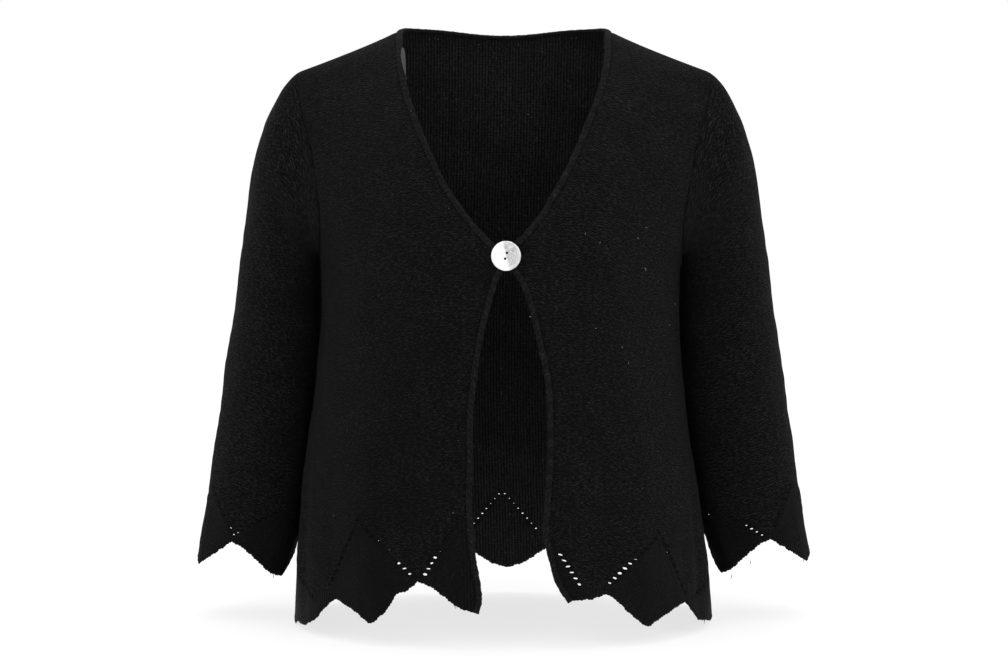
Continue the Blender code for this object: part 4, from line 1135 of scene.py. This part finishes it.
def knit_look(name, dark, light, fuzz):
    """Black knit: broken wavy rows on the rough side, columns of leaning stitches on the smooth side."""
    look = Look(name)
    place, around, down = look.flat_place()
    plain = look.attribute("plain")
    pull = look.noise(place, 210.0, 2.0, 0.6) - 0.5
    drift = look.noise(place, 60.0) - 0.5
    fibre = look.noise(place, 1300.0, 3.0, 0.65)
    row = down / ROW_HEIGHT

    swing = look.wave(around / STITCH_WIDTH + drift * 2.2)
    rows = look.wave(row + pull * 1.5 + swing * 0.27)
    bumps = look.steps(rows + drift * 1.6, -1.2, 1.2)

    column = look.math("FRACT", around / RIB_WIDTH + pull * 0.9)
    off_centre = look.math("ABSOLUTE", column * 2.0 - 1.0)
    legs = look.wave(row + off_centre * 0.55) * 0.5 + 0.5
    ridge = 1.0 - off_centre * off_centre
    columns = ridge * (legs * 0.34 + 0.66) * 0.75 + 0.15

    knit = bumps + (columns - bumps) * plain
    grain = look.noise(look.stretched(place, 1.0, 1.9), 250.0, 2.0, 0.6)
    dash = (grain * 3.2 - 1.60) * (1.0 - plain * 0.72)
    # painted shade and highlight: the colour follows the knit's relief, darker in the hollows between
    # stitches and paler on their tops, with random grain
    relief_shade_and_grain = look.math("ADD", knit * 0.60 + (fibre * 1.2 - 0.55), dash, clamp=True)
    colour = look.mix(look.math("POWER", relief_shade_and_grain, 1.7), dark, light)
    spots = look.steps(look.noise(place, 300.0, 1.0), 0.70, 0.80)
    colour = look.mix(spots * 0.45, colour, (0.038, 0.038, 0.039))
    wear = look.noise(place, 9.0) * 0.7 + 0.65
    look.bump(knit + (fibre - 0.5) * 0.9, 0.0012)
    look.set(Base_Color=look.scaled(colour, look.attribute("tone") * wear), Roughness=0.92,
             Specular_IOR_Level=0.08, Sheen_Weight=fuzz, Sheen_Roughness=0.55, Sheen_Tint=SHEEN)
    return look.material


def edging_look(name):
    """The rolled edging: fine stitches that wind along it."""
    look = Look(name)
    place, around, along = look.flat_place()
    pull = look.noise(place, 160.0) - 0.5
    turn = along / 0.0062 + around / 0.0070
    strands = look.wave(turn + pull * 2.4) * 0.5 + 0.5
    fibre = look.noise(place, 1300.0, 3.0, 0.65)
    # painted shade: the colour follows the strands' relief, darker between them, with random grain
    relief_shade_and_grain = look.math("ADD", strands * 0.46, fibre - 0.27, clamp=True)
    colour = look.mix(relief_shade_and_grain, (0.0012, 0.0012, 0.0013), (0.0088, 0.0088, 0.0090))
    spots = look.steps(look.noise(place, 300.0, 1.0), 0.60, 0.74)
    colour = look.mix(spots * 0.2, colour, (0.045, 0.045, 0.045))
    look.bump(strands * 0.6 + (fibre - 0.5) * 0.8, 0.0005)
    look.set(Base_Color=look.scaled(colour, look.attribute("tone")), Roughness=0.92,
             Specular_IOR_Level=0.08, Sheen_Weight=0.015, Sheen_Roughness=0.5, Sheen_Tint=SHEEN)
    return look.material


def button_look(name):
    """A disc turned in fine rings, with a painted reflection: white at the left and greyer in a sector at the
    upper right, and painted shade in its holes.
    """
    look = Look(name)
    place, x, y = look.flat_place()
    radius = look.math("SQRT", x * x + y * y)
    turn = look.math("ARCTAN2", y, x)
    wobble = turn + look.noise(place, 260.0, 3.0, 0.6) * 0.30
    # painted reflection: the face is white at the left and greyer in a sector at the upper right
    painted_reflection_sector = look.steps(wobble, 2.05, 1.81) * look.steps(wobble, -1.35, -0.90)
    rings = look.node("ShaderNodeCombineXYZ", 0, {0: radius * 1150.0, 1: turn * 2.2})
    arcs = look.noise(rings, 1.0, 3.0, 0.7)
    near_rim = look.steps(radius, 0.0080, 0.0135)
    painted_reflection_grey = look.math("MULTIPLY", painted_reflection_sector, arcs * 2.8 - 0.80, clamp=True) * (1.0 - near_rim * 0.25)
    colour = look.mix(painted_reflection_grey, (0.93, 0.93, 0.925), (0.34, 0.34, 0.343))
    colour = look.mix(look.steps(arcs, 0.56, 0.70) * 0.30, colour, (0.45, 0.45, 0.46))
    for centre in hole_centres():
        across = x - float(centre[0])
        up = y - float(centre[1])
        from_hole = look.math("SQRT", across * across + up * up)
        # painted shade: the holes' walls and floors are painted near black
        painted_hole_shade = look.steps(from_hole, BUTTON_HOLE_RADIUS + 0.0004, BUTTON_HOLE_RADIUS + 0.0001)
        colour = look.mix(painted_hole_shade, colour, (0.004, 0.004, 0.004))
    look.bump(arcs, 0.00006, 0.6)
    look.set(Base_Color=colour, Metallic=1.0, Roughness=0.34)
    return look.material


def plain_look(name, colour, roughness):
    """Threads and specks: one colour with a fine unevenness."""
    look = Look(name)
    grain = look.noise(look.object_place(), 900.0)
    dim = tuple(0.55 * part for part in colour)
    look.set(Base_Color=look.mix(grain, dim, colour), Roughness=roughness, Specular_IOR_Level=0.2)
    return look.material


# ---------------------------------------------------------------- the cloth pieces
def cut_size(outline):
    """The width and length of a flat outline, and its area."""
    return outline.max(axis=0) - outline.min(axis=0), signed_area(outline)


def front_piece(name, side, hem, eyelets, seed, material):
    finished = front_edge(side, EDGING_STEP)
    edge = smooth_path(inset_path(finished, EDGING_WIDTH + SEAM_GAP / 2, side), SEAM_STEP)
    edge[0, 1] = SEAM_GAP / 2
    last = ("end", edge[-1, 0], edge[-1, 1])
    outline, free = joined([
        (shoulder_run(side), False),
        (armhole_run(side, "front"), False),
        (side_run(side, "front"), False),
        (hem_run(side, "front", hem, last), True),
        (edge[-2:0:-1], False),
    ])
    obj = panel(name, outline, free, signed_rows(eyelets, side), -SEAM_GAP / 2, material, seed)
    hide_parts(name)
    return obj, *cut_size(outline)


def back_piece(name, seed, material):
    neck = inset_path(back_neck_edge(110), EDGING_WIDTH + SEAM_GAP / 2, -1)
    neck[[0, -1], 1] = SEAM_GAP / 2
    centre = ("point", BACK_HEM_SHIFT, BACK_HEM[0][2] + 0.0005)
    hems = [hem_run(side, "back", BACK_HEM, centre, BACK_HEM_SHIFT) for side in (1, -1)]
    outline, free = joined([
        (shoulder_run(1), False),
        (armhole_run(1, "back"), False),
        (side_run(1, "back"), False),
        (hems[0], True),
        (hems[1][-2::-1], True),
        (side_run(-1, "back")[::-1], False),
        (armhole_run(-1, "back")[::-1], False),
        (shoulder_run(-1)[::-1], False),
        (neck[1:-1], False),
    ])
    rows = signed_rows(BACK_EYELETS, 1) + signed_rows(BACK_EYELETS, -1)
    obj = panel(name, outline, free, rows, SEAM_GAP / 2, material, seed)
    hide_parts(name)
    return obj, *cut_size(outline)


def cuff_rows(side):
    """The cuff's zigzag as (feature, around, along) over one turn, from the inner line round to itself."""
    rows = [(feature, math.radians((degrees + 180) % 360 - 180) * SLEEVE_FLAT_RADIUS, along)
            for feature, degrees, along in CUFF[side]]
    rows.sort(key=lambda row: row[1])
    seam_along = float(np.interp(180, [row[1] for row in CUFF[side]], [row[2] for row in CUFF[side]]))
    return [("end", -SLEEVE_HALF_TURN, seam_along)] + rows + [("end", SLEEVE_HALF_TURN, seam_along)]


def sleeve_piece(name, side, seed, material):
    """One sleeve as a single knitted tube, closed along its inner line."""
    turns = np.linspace(-180, 180, 181)
    top = np.stack([np.radians(turns) * SLEEVE_FLAT_RADIUS,
                    SEAM_GAP + UNDERARM_PARTING * (np.abs(turns) / 180) ** 4], axis=1)
    cuff = soften(cuff_rows(side))
    cuff[-1] = (SLEEVE_HALF_TURN, cuff[0, 1])
    along = np.linspace(top[0, 1], cuff[0, 1], 160)[1:-1]
    inner = np.stack([np.full(len(along), SLEEVE_HALF_TURN), along], axis=1)
    runs = [top, inner, cuff[::-1], inner[::-1] * (-1, 1)]
    outline = np.vstack(runs)
    free = np.repeat([False, False, True, False], [len(run) for run in runs])
    corner = len(top) + len(inner)
    last = len(outline) - 1
    weld = [(len(top) + n, last - n) for n in range(len(inner))]
    weld += [(len(top) - 1, 0), (corner, corner + len(cuff) - 1)]
    if signed_area(outline) < 0:
        outline, free = outline[::-1], free[::-1]
        weld = [(last - a, last - b) for a, b in weld]
    rows = []
    for from_turn, from_along, to_turn, to_along, steps, tip in CUFF_EYELETS[side]:
        for lap in (-360, 0):
            start = (math.radians(from_turn + lap) * SLEEVE_FLAT_RADIUS, from_along)
            end = (math.radians(to_turn + lap) * SLEEVE_FLAT_RADIUS, to_along)
            rows.append((start, end, steps, tip))
    obj = panel(name, outline, free, rows, 0.0, material, seed, weld)
    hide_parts(name + "_front", name + "_back")
    return obj


def grid_faces(rows, columns, closed):
    """Triangles over a grid of points that come row by row; closed joins its last column to its first."""
    column = np.arange(columns if closed else columns - 1)
    first = np.arange(rows - 1)[:, None] * columns
    a = (first + column).ravel()
    b = (first + (column + 1) % columns).ravel()
    return np.vstack([np.stack([a, b, b + columns], 1), np.stack([a, b + columns, a + columns], 1)])


def tube_faces(rings, corners):
    """Triangles of a closed tube whose points come ring by ring."""
    fan = np.array([[0, k, k + 1] for k in range(1, corners - 1)])
    return np.vstack([grid_faces(rings, corners, closed=True), fan[:, ::-1], fan + (rings - 1) * corners])


# Half the edging's section, from the panel to the open side: across, in widths, and height, in thicknesses.
EDGING_SECTION = (
    (0.0, 0.0), (0.05, 0.24), (0.14, 0.38), (0.30, 0.47), (0.50, 0.50), (0.75, 0.45), (1.0, 0.34),
)
EDGING_BEAT = 0.0052          # one lump of the roll


def edging_piece(name, path, side, cloth, material, seed):
    """A rolled, lumpy band along a finished edge of the cloth piece."""
    point_at, facing, _ = SURFACES[cloth]
    run = run_along(path)
    beat = np.sin(2 * math.pi * run / EDGING_BEAT) * (0.6 + 0.4 * uneven_run(run, 0.03, seed + 1))
    lump = 1 + 0.05 * beat + 0.07 * uneven_run(run, 0.013, seed)
    across = sideways(path, side)
    lower = [(part, -height) for part, height in EDGING_SECTION[:0:-1]]
    rings = []
    for part, height in (*EDGING_SECTION, *lower):
        # the roll swells towards the open side, and its inner side stays against the panel
        reach = part * EDGING_WIDTH - (1 - part) * EDGING_WIDTH * 0.10 * (lump - 1) / 0.13
        middle, normal = surface_of(point_at, path + across * reach[:, None], facing)
        rings.append(middle + normal * (height * EDGING_THICKNESS * lump)[:, None])
    points = np.stack(rings, axis=1)
    count, corners = points.shape[:2]
    triangles = tube_faces(count, corners)
    if side * facing < 0:
        triangles = triangles[:, ::-1]
    flat = np.stack([np.tile(np.arange(corners) * 0.0013, count), np.repeat(run, corners)], axis=1)
    tone = np.repeat(1.2 + 0.30 * uneven_run(run, 0.011, seed + 2), corners)
    obj = new_piece(name + "_roll", points.reshape(-1, 3), triangles, flat, {"tone": tone}, [material])
    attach(obj, "root")
    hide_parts(name)
    return obj, float(run[-1])


# ---------------------------------------------------------------- the button
BUTTON_STEPS = 120            # points round the button
HOLE_STEPS = 28               # and round each of its holes
BUTTON_GRID = 0.0008          # spacing of the fine points on its faces
BUTTON_BEVEL = 0.0013         # width of the bright bevelled rim
BUTTON_DISH = 0.00030         # how far the face is hollowed at its centre
HOLE_EASE = 0.00025           # how much wider the eased holes are at the face
THREAD_RADIUS = 0.00034
THREAD_APART = 0.00072        # between the two strands in a hole
WINDING_RADIUS = 0.00022      # of the thread that is wound behind the button


def button_frame():
    """The button's base point and its three directions: to the right, up and ahead."""
    place = np.array([[1e-6, BUTTON_DOWN]])
    middle, normal = surface_of(partial(body_point, "front"), place, -1)
    ahead = normal[0]
    up = np.array([0, 0, 1]) - ahead * ahead[2]
    up /= np.linalg.norm(up)
    across = np.cross(up, ahead)
    base = middle[0] + across * BUTTON_X + ahead * (LAP + EDGING_THICKNESS / 2 + SEAM_GAP)
    return base, across, up, ahead


def circle(radius, steps, centre=(0.0, 0.0)):
    turn = np.arange(steps) * 2 * math.pi / steps
    return np.stack([np.cos(turn), np.sin(turn)], axis=1) * radius + centre


def strip(first, second, steps):
    """Triangles between two closed rings of points, given by their first numbers."""
    n = np.arange(steps)
    following = (n + 1) % steps
    return np.vstack([np.stack([first + n, first + following, second + following], 1),
                      np.stack([first + n, second + following, second + n], 1)])


def hole_centres():
    lean = math.radians(BUTTON_HOLE_LEAN)
    heading = np.array([math.sin(lean), math.cos(lean)]) * BUTTON_HOLE_APART / 2
    return heading, -heading


def button_piece(name, material):
    """A slightly dished disc with a bright bevelled rim and two eased holes."""
    radius, top = BUTTON_RADIUS, BUTTON_THICKNESS
    face_radius = radius - BUTTON_BEVEL
    outer = circle(face_radius, BUTTON_STEPS)
    holes = [circle(BUTTON_HOLE_RADIUS + HOLE_EASE, HOLE_STEPS, centre) for centre in hole_centres()]
    inner = grid_inside(outer, BUTTON_GRID)
    clear = distance_to(tree_of(np.vstack([outer] + holes)), inner) > BUTTON_GRID / 2
    for centre in hole_centres():
        clear &= np.linalg.norm(inner - centre, axis=1) > BUTTON_HOLE_RADIUS + 0.0006
    flat = np.vstack([outer] + holes + [inner[clear]])
    total = len(flat)

    # The walls between the two faces, ring by ring as (radius, height): the rim's, then each hole's.
    rim = (
        (radius - 0.0009, top + 0.00006), (radius - 0.0004, top - 0.0001), (radius - 0.0001, top - 0.0005),
        (radius, top - 0.0010), (radius, 0.0009), (radius - 0.0002, 0.0004), (radius - 0.0007, 0.0),
    )
    eased = ((BUTTON_HOLE_RADIUS, top - 0.0005), (BUTTON_HOLE_RADIUS, 0.0003))
    walls = [(0, BUTTON_STEPS, (0.0, 0.0), rim, 1)]
    walls += [(BUTTON_STEPS + n * HOLE_STEPS, HOLE_STEPS, centre, eased, -1)
              for n, centre in enumerate(hole_centres())]
    faces = triangulated(flat, [range(start, start + steps) for start, steps, _, _, _ in walls])
    level = top - BUTTON_DISH * (1 - (np.linalg.norm(flat, axis=1) / face_radius) ** 2)
    points = [np.column_stack([flat, level]), np.column_stack([flat, np.zeros(total)])]
    places = [flat, flat]
    triangles = [faces, faces[:, ::-1] + total]
    first = 2 * total
    for start, steps, centre, rings, order in walls:
        before = start
        for ring_radius, height in rings:
            ring = circle(ring_radius, steps, centre)
            points.append(np.column_stack([ring, np.full(steps, height)]))
            places.append(ring)
            triangles.append(strip(*(first, before)[::order], steps))
            before = first
            first += steps
        triangles.append(strip(*(total + start, before)[::order], steps))
    points, places, triangles = np.vstack(points), np.vstack(places), np.vstack(triangles)
    base, across, up, ahead = button_frame()
    points = base + points[:, :1] * across + points[:, 1:2] * up + points[:, 2:] * ahead
    obj = new_piece(name, points, triangles, places, None, [material])
    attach(obj, "root")
    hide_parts("button")
    return obj


def tube(path, radius, steps):
    """Points and triangles of a closed tube along a path."""
    path = np.asarray(path, dtype=float)
    radius = np.broadcast_to(radius, len(path))
    heading = np.gradient(path, axis=0)
    heading /= np.linalg.norm(heading, axis=1)[:, None]
    side = np.cross(heading, (0.31, 0.62, 0.17))
    side /= np.linalg.norm(side, axis=1)[:, None]
    other = np.cross(heading, side)
    turn = (np.arange(steps) * 2 * math.pi / steps)[:, None]
    round_it = np.cos(turn) * side[:, None] + np.sin(turn) * other[:, None]
    points = path[:, None] + radius[:, None, None] * round_it
    return points.reshape(-1, 3), tube_faces(len(path), steps)


def merged(parts):
    """Several (points, triangles) as one."""
    points, triangles, first = [], [], 0
    for some_points, some_triangles in parts:
        points.append(some_points)
        triangles.append(some_triangles + first)
        first += len(some_points)
    return np.vstack(points), np.vstack(triangles)


def thread_piece(name, material):
    """The sewing thread: two strands in each hole, and the winding behind the button."""
    base, across, up, ahead = button_frame()
    parts = []
    for centre in hole_centres():
        for shift in (-THREAD_APART / 2, THREAD_APART / 2):
            foot = base + (centre[0] + shift) * across + centre[1] * up
            path = [foot + ahead * height for height in (-0.0022, -0.0008, 0.0004, BUTTON_THICKNESS - 0.0012)]
            parts.append(tube(path, THREAD_RADIUS, 7))
    winding = [base + across * 0.0014 * math.cos(turn) + up * 0.0026 * math.sin(turn)
               - ahead * (0.0004 + 0.00006 * turn)
               for turn in np.linspace(0, 10 * math.pi, 70)]
    parts.append(tube(winding, WINDING_RADIUS, 6))
    obj = new_piece(name, *merged(parts), materials=[material])
    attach(obj, "root")
    return obj


# ---------------------------------------------------------------- fibres, specks and yarn ends
def outer_places(obj):
    """The points and normals of a cloth piece."""
    count = len(obj.data.vertices)
    points, normals = np.empty(count * 3), np.empty(count * 3)
    obj.data.vertices.foreach_get("co", points)
    obj.data.vertex_normals.foreach_get("vector", normals)
    return points.reshape(-1, 3), normals.reshape(-1, 3)


def heading_on(normal):
    """A random direction along the cloth."""
    heading = RANDOM.normal(size=3)
    heading -= normal * (heading @ normal)
    return heading / np.linalg.norm(heading)


def fibre(start, heading, lift, length, width):
    """A thin bent strip of five points and three triangles, standing out of the cloth."""
    bend = np.cross(heading, lift)
    middle = start + heading * length * 0.5 + lift * length * 0.35
    end = start + heading * length + lift * length * 0.25 + bend * length * 0.3
    points = np.array([start + bend * width, start - bend * width, middle + bend * width * 0.8,
                       middle - bend * width * 0.8, end])
    return points, np.array([[0, 1, 3], [0, 3, 2], [2, 3, 4]])


def fibres_piece(name, sources, count, lengths, width, material):
    """Short fibres all over some cloth pieces."""
    points, normals = [np.vstack(part) for part in zip(*[outer_places(obj) for obj in sources])]
    parts = []
    for n in RANDOM.choice(len(points), count, replace=False):
        heading = heading_on(normals[n])
        parts.append(fibre(points[n], heading, normals[n], RANDOM.uniform(*lengths), width))
    obj = new_piece(name, *merged(parts), materials=[material], smooth=False)
    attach(obj, "root")
    return obj


# Pale specks of lint that show in the cloth: (around, down, length) on the flat piece.
SPECKS = {
    "front_right": (
        (0.0810, 0.2489, 0.0016), (0.0969, 0.2548, 0.0024), (0.1037, 0.2628, 0.0036),
        (0.1124, 0.2489, 0.0026), (0.1368, 0.2389, 0.0018), (0.1457, 0.2250, 0.0018),
        (0.1485, 0.2668, 0.0034), (0.2124, 0.2966, 0.0016), (0.0940, 0.3365, 0.0014),
        (0.1228, 0.3504, 0.0016), (0.1288, 0.3643, 0.0020), (0.1889, 0.3902, 0.0018),
        (0.0281, 0.3285, 0.0018), (0.1939, 0.3205, 0.0012),
    ),
    "front_left": (
        (-0.1100, 0.5480, 0.0012), (-0.0450, 0.5180, 0.0012), (-0.1740, 0.5100, 0.0010),
        (-0.0950, 0.0840, 0.0010), (-0.0900, 0.1220, 0.0010),
    ),
    "back": (
        (-0.0940, 0.0500, 0.0016), (-0.0760, 0.0690, 0.0014), (-0.0700, 0.0700, 0.0012),
        (-0.0680, 0.0735, 0.0016), (-0.0250, 0.0850, 0.0012), (0.0150, 0.0860, 0.0014),
        (0.0560, 0.0740, 0.0010), (0.0680, 0.0700, 0.0010), (0.0730, 0.0690, 0.0012),
        (-0.0100, 0.0960, 0.0010), (-0.0480, 0.1420, 0.0012), (0.0250, 0.1560, 0.0018),
        (0.0390, 0.0930, 0.0010),
    ),
}


def specks_piece(name, material):
    """Small bits of pale lint caught in the knit."""
    parts = []
    for piece, rows in SPECKS.items():
        point_at, facing, shown = SURFACES[piece]
        for around, down, length in rows:
            middle, normal = surface_of(point_at, np.array([[around, down]]), facing)
            normal = normal[0] * shown
            heading = heading_on(normal)
            start = middle[0] + normal * (WALL / 2 + 0.0007)
            path = [start, start + heading * length * 0.5 + normal * 0.0003, start + heading * length]
            parts.append(tube(path, (0.00018, 0.00026, 0.00014), 5))
    obj = new_piece(name, *merged(parts), materials=[material])
    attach(obj, "root")
    return obj


# Loose yarn ends that hang from the hems and cuffs: a place on the flat piece and the length.
YARN_ENDS = (
    # piece          around   down    length
    ("front_left",  -0.0470, 0.6055, 0.0060),
    ("front_left",  -0.0440, 0.6065, 0.0035),
    ("front_left",  -0.1260, 0.6120, 0.0030),
    ("front_right",  0.2390, 0.6070, 0.0050),
    ("sleeve_left",  0.1180, 0.4255, 0.0040),
    ("sleeve_right", 0.1190, 0.4255, 0.0050),
    ("sleeve_right", 0.0930, 0.4130, 0.0040),
    ("sleeve_right", 0.0300, 0.4250, 0.0035),
    ("back",         0.1020, 0.6215, 0.0040),
)


def yarn_ends_piece(name, material):
    parts = []
    for piece, around, down, length in YARN_ENDS:
        start = SURFACES[piece][0](np.array([around]), np.array([down]))[0]
        lean = RANDOM.uniform(-0.35, 0.35, 3) * (1, 0.6, 0)
        path = [start + (lean * part + (0, 0, -1)) * length * part for part in (0, 0.35, 0.7, 1.0)]
        parts.append(tube(path, (0.00032, 0.00030, 0.00026, 0.00018), 5))
    obj = new_piece(name, *merged(parts), materials=[material])
    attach(obj, "root")
    return obj


TWIST_FROM, TWIST_TO = 0.042, 0.083   # where the twisted part of the left edging is, down the cloth
TWIST_HALF_WIDTH = 0.0020
# Its section, from one edge to the other: across, in half widths, and height.
TWIST_SECTION = ((-1.0, 0.0), (-0.45, 0.0005), (-0.05, 0.0001), (0.1, 0.0004), (0.6, 0.0007), (1.0, 0.0))


def neck_twist_piece(name, material):
    """A leaf-shaped turn of the edging at the left side of the neck, its paler inner face to the front."""
    point_at, facing, _ = SURFACES["front_left"]
    edge = front_edge(-1, 0.001)
    chosen = edge[(edge[:, 1] > TWIST_FROM) & (edge[:, 1] < TWIST_TO)]
    run = np.linspace(0, 1, len(chosen))
    width = TWIST_HALF_WIDTH * np.sin(math.pi * run ** 0.60) ** 0.9
    rows = []
    for across, height in TWIST_SECTION:
        flat = inset_path(chosen, 0.0014, -1)
        flat[:, 0] += width * across + 0.0018
        middle, normal = surface_of(point_at, flat, facing)
        rows.append(middle + normal * (EDGING_THICKNESS * 0.5 + 0.0004 + height))
    points = np.stack(rows, axis=1)
    triangles = grid_faces(*points.shape[:2], closed=False)
    obj = new_piece(name, points.reshape(-1, 3), triangles, materials=[material])
    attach(obj, "root")
    return obj


# ---------------------------------------------------------------- the studio
FLOOR_REACH = 9               # half the floor's width
FLOOR_BELOW = 0.0008          # the floor lies this far below the garment
LIGHTS = (
    # name         place              points at      size power
    ("key_light",  (-1.5, -2.4, 2.2), (0, 0, -0.3),  1.6, 12),
    ("fill_light", (1.9, -2.2, 1.6),  (0, 0, -0.3),  1.8, 15),
    ("top_light",  (0.0, 0.1, 2.4),   (0, 0, -0.4),  2.2, 24),
)
CAMERA_PLACE = (0, -3.0, -0.02)
CAMERA_DOWNWARDS = 5.47       # degrees
CAMERA_LENS = 107.14          # millimetres, on a sensor 36 wide


def studio():
    scene = bpy.context.scene
    scene.view_settings.view_transform = "Standard"
    world = bpy.data.worlds.new("studio")
    world.use_nodes = True
    world.node_tree.nodes["Background"].inputs["Color"].default_value = (1, 1, 1, 1)
    world.node_tree.nodes["Background"].inputs["Strength"].default_value = 1.0
    scene.world = world

    look = Look("floor_paint")
    colour = look.mix(look.noise(look.object_place(), 3.0), (0.29, 0.29, 0.29), (0.30, 0.30, 0.30))
    look.set(Base_Color=colour, Roughness=1.0, Specular_IOR_Level=0.0, Emission_Color=(1, 1, 1, 1),
             Emission_Strength=0.72)
    level = CAD_BOX[0][2] - FLOOR_BELOW
    corners = [(x * FLOOR_REACH, y * FLOOR_REACH, level) for x, y in ((-1, -1), (1, -1), (1, 1), (-1, 1))]
    floor = new_piece("floor", corners, [[0, 1, 2], [0, 2, 3]], materials=[look.material])

    for name, place, target, size, power in LIGHTS:
        light = bpy.data.lights.new(name, "AREA")
        light.size = size
        light.energy = power
        obj = bpy.data.objects.new(name, light)
        obj.location = place
        obj.rotation_euler = (Vector(target) - Vector(place)).to_track_quat("-Z", "Y").to_euler()
        scene.collection.objects.link(obj)

    camera = bpy.data.cameras.new("camera")
    camera.lens = CAMERA_LENS
    camera.sensor_width = 36
    obj = bpy.data.objects.new("camera", camera)
    obj.location = CAMERA_PLACE
    obj.rotation_euler = (math.radians(90 - CAMERA_DOWNWARDS), 0, 0)
    scene.collection.objects.link(obj)
    scene.camera = obj


def main():
    studio()
    knit = knit_look("black_knit", (0.0001, 0.0001, 0.0001), (0.0148, 0.0148, 0.0150), 0.018)
    roll = edging_look("black_edging")
    silver = button_look("turned_silver")
    lint = plain_look("pale_lint", (0.30, 0.30, 0.29), 0.9)
    yarn = plain_look("black_yarn", (0.012, 0.012, 0.013), 0.9)
    pale = plain_look("twisted_knit", (0.060, 0.061, 0.064), 0.85)

    left, left_size, left_area = front_piece("front_left", -1, LEFT_HEM, LEFT_EYELETS, 21, knit)
    right, right_size, right_area = front_piece("front_right", 1, RIGHT_HEM, RIGHT_EYELETS, 22, knit)
    back, back_size, back_area = back_piece("back", 23, knit)
    sleeve_left = sleeve_piece("sleeve_left", -1, 24, knit)
    sleeve_right = sleeve_piece("sleeve_right", 1, 25, knit)
    left_path, right_path = [smooth_path(front_edge(side, EDGING_STEP), FREE_STEP) for side in (-1, 1)]
    roll_left, run_left = edging_piece("edging_left", left_path, -1, "front_left", roll, 31)
    roll_right, run_right = edging_piece("edging_right", right_path, 1, "front_right", roll, 32)
    roll_neck, run_neck = edging_piece("edging_neck", back_neck_edge(240), -1, "back", roll, 33)
    button_piece("button_disc", silver)
    thread_piece("button_thread", yarn)
    neck_twist = neck_twist_piece("neck_twist", pale)

    cloth = [left, right, back, sleeve_left, sleeve_right]
    specks_piece("lint_specks", lint)
    yarn_ends_piece("yarn_ends", yarn)
    fibres_piece("fuzz", cloth, count=5200, lengths=(0.0012, 0.0034), width=0.00005, material=yarn)
    fibres_piece("pale_fuzz", cloth, count=260, lengths=(0.0005, 0.0012), width=0.00009, material=lint)


main()
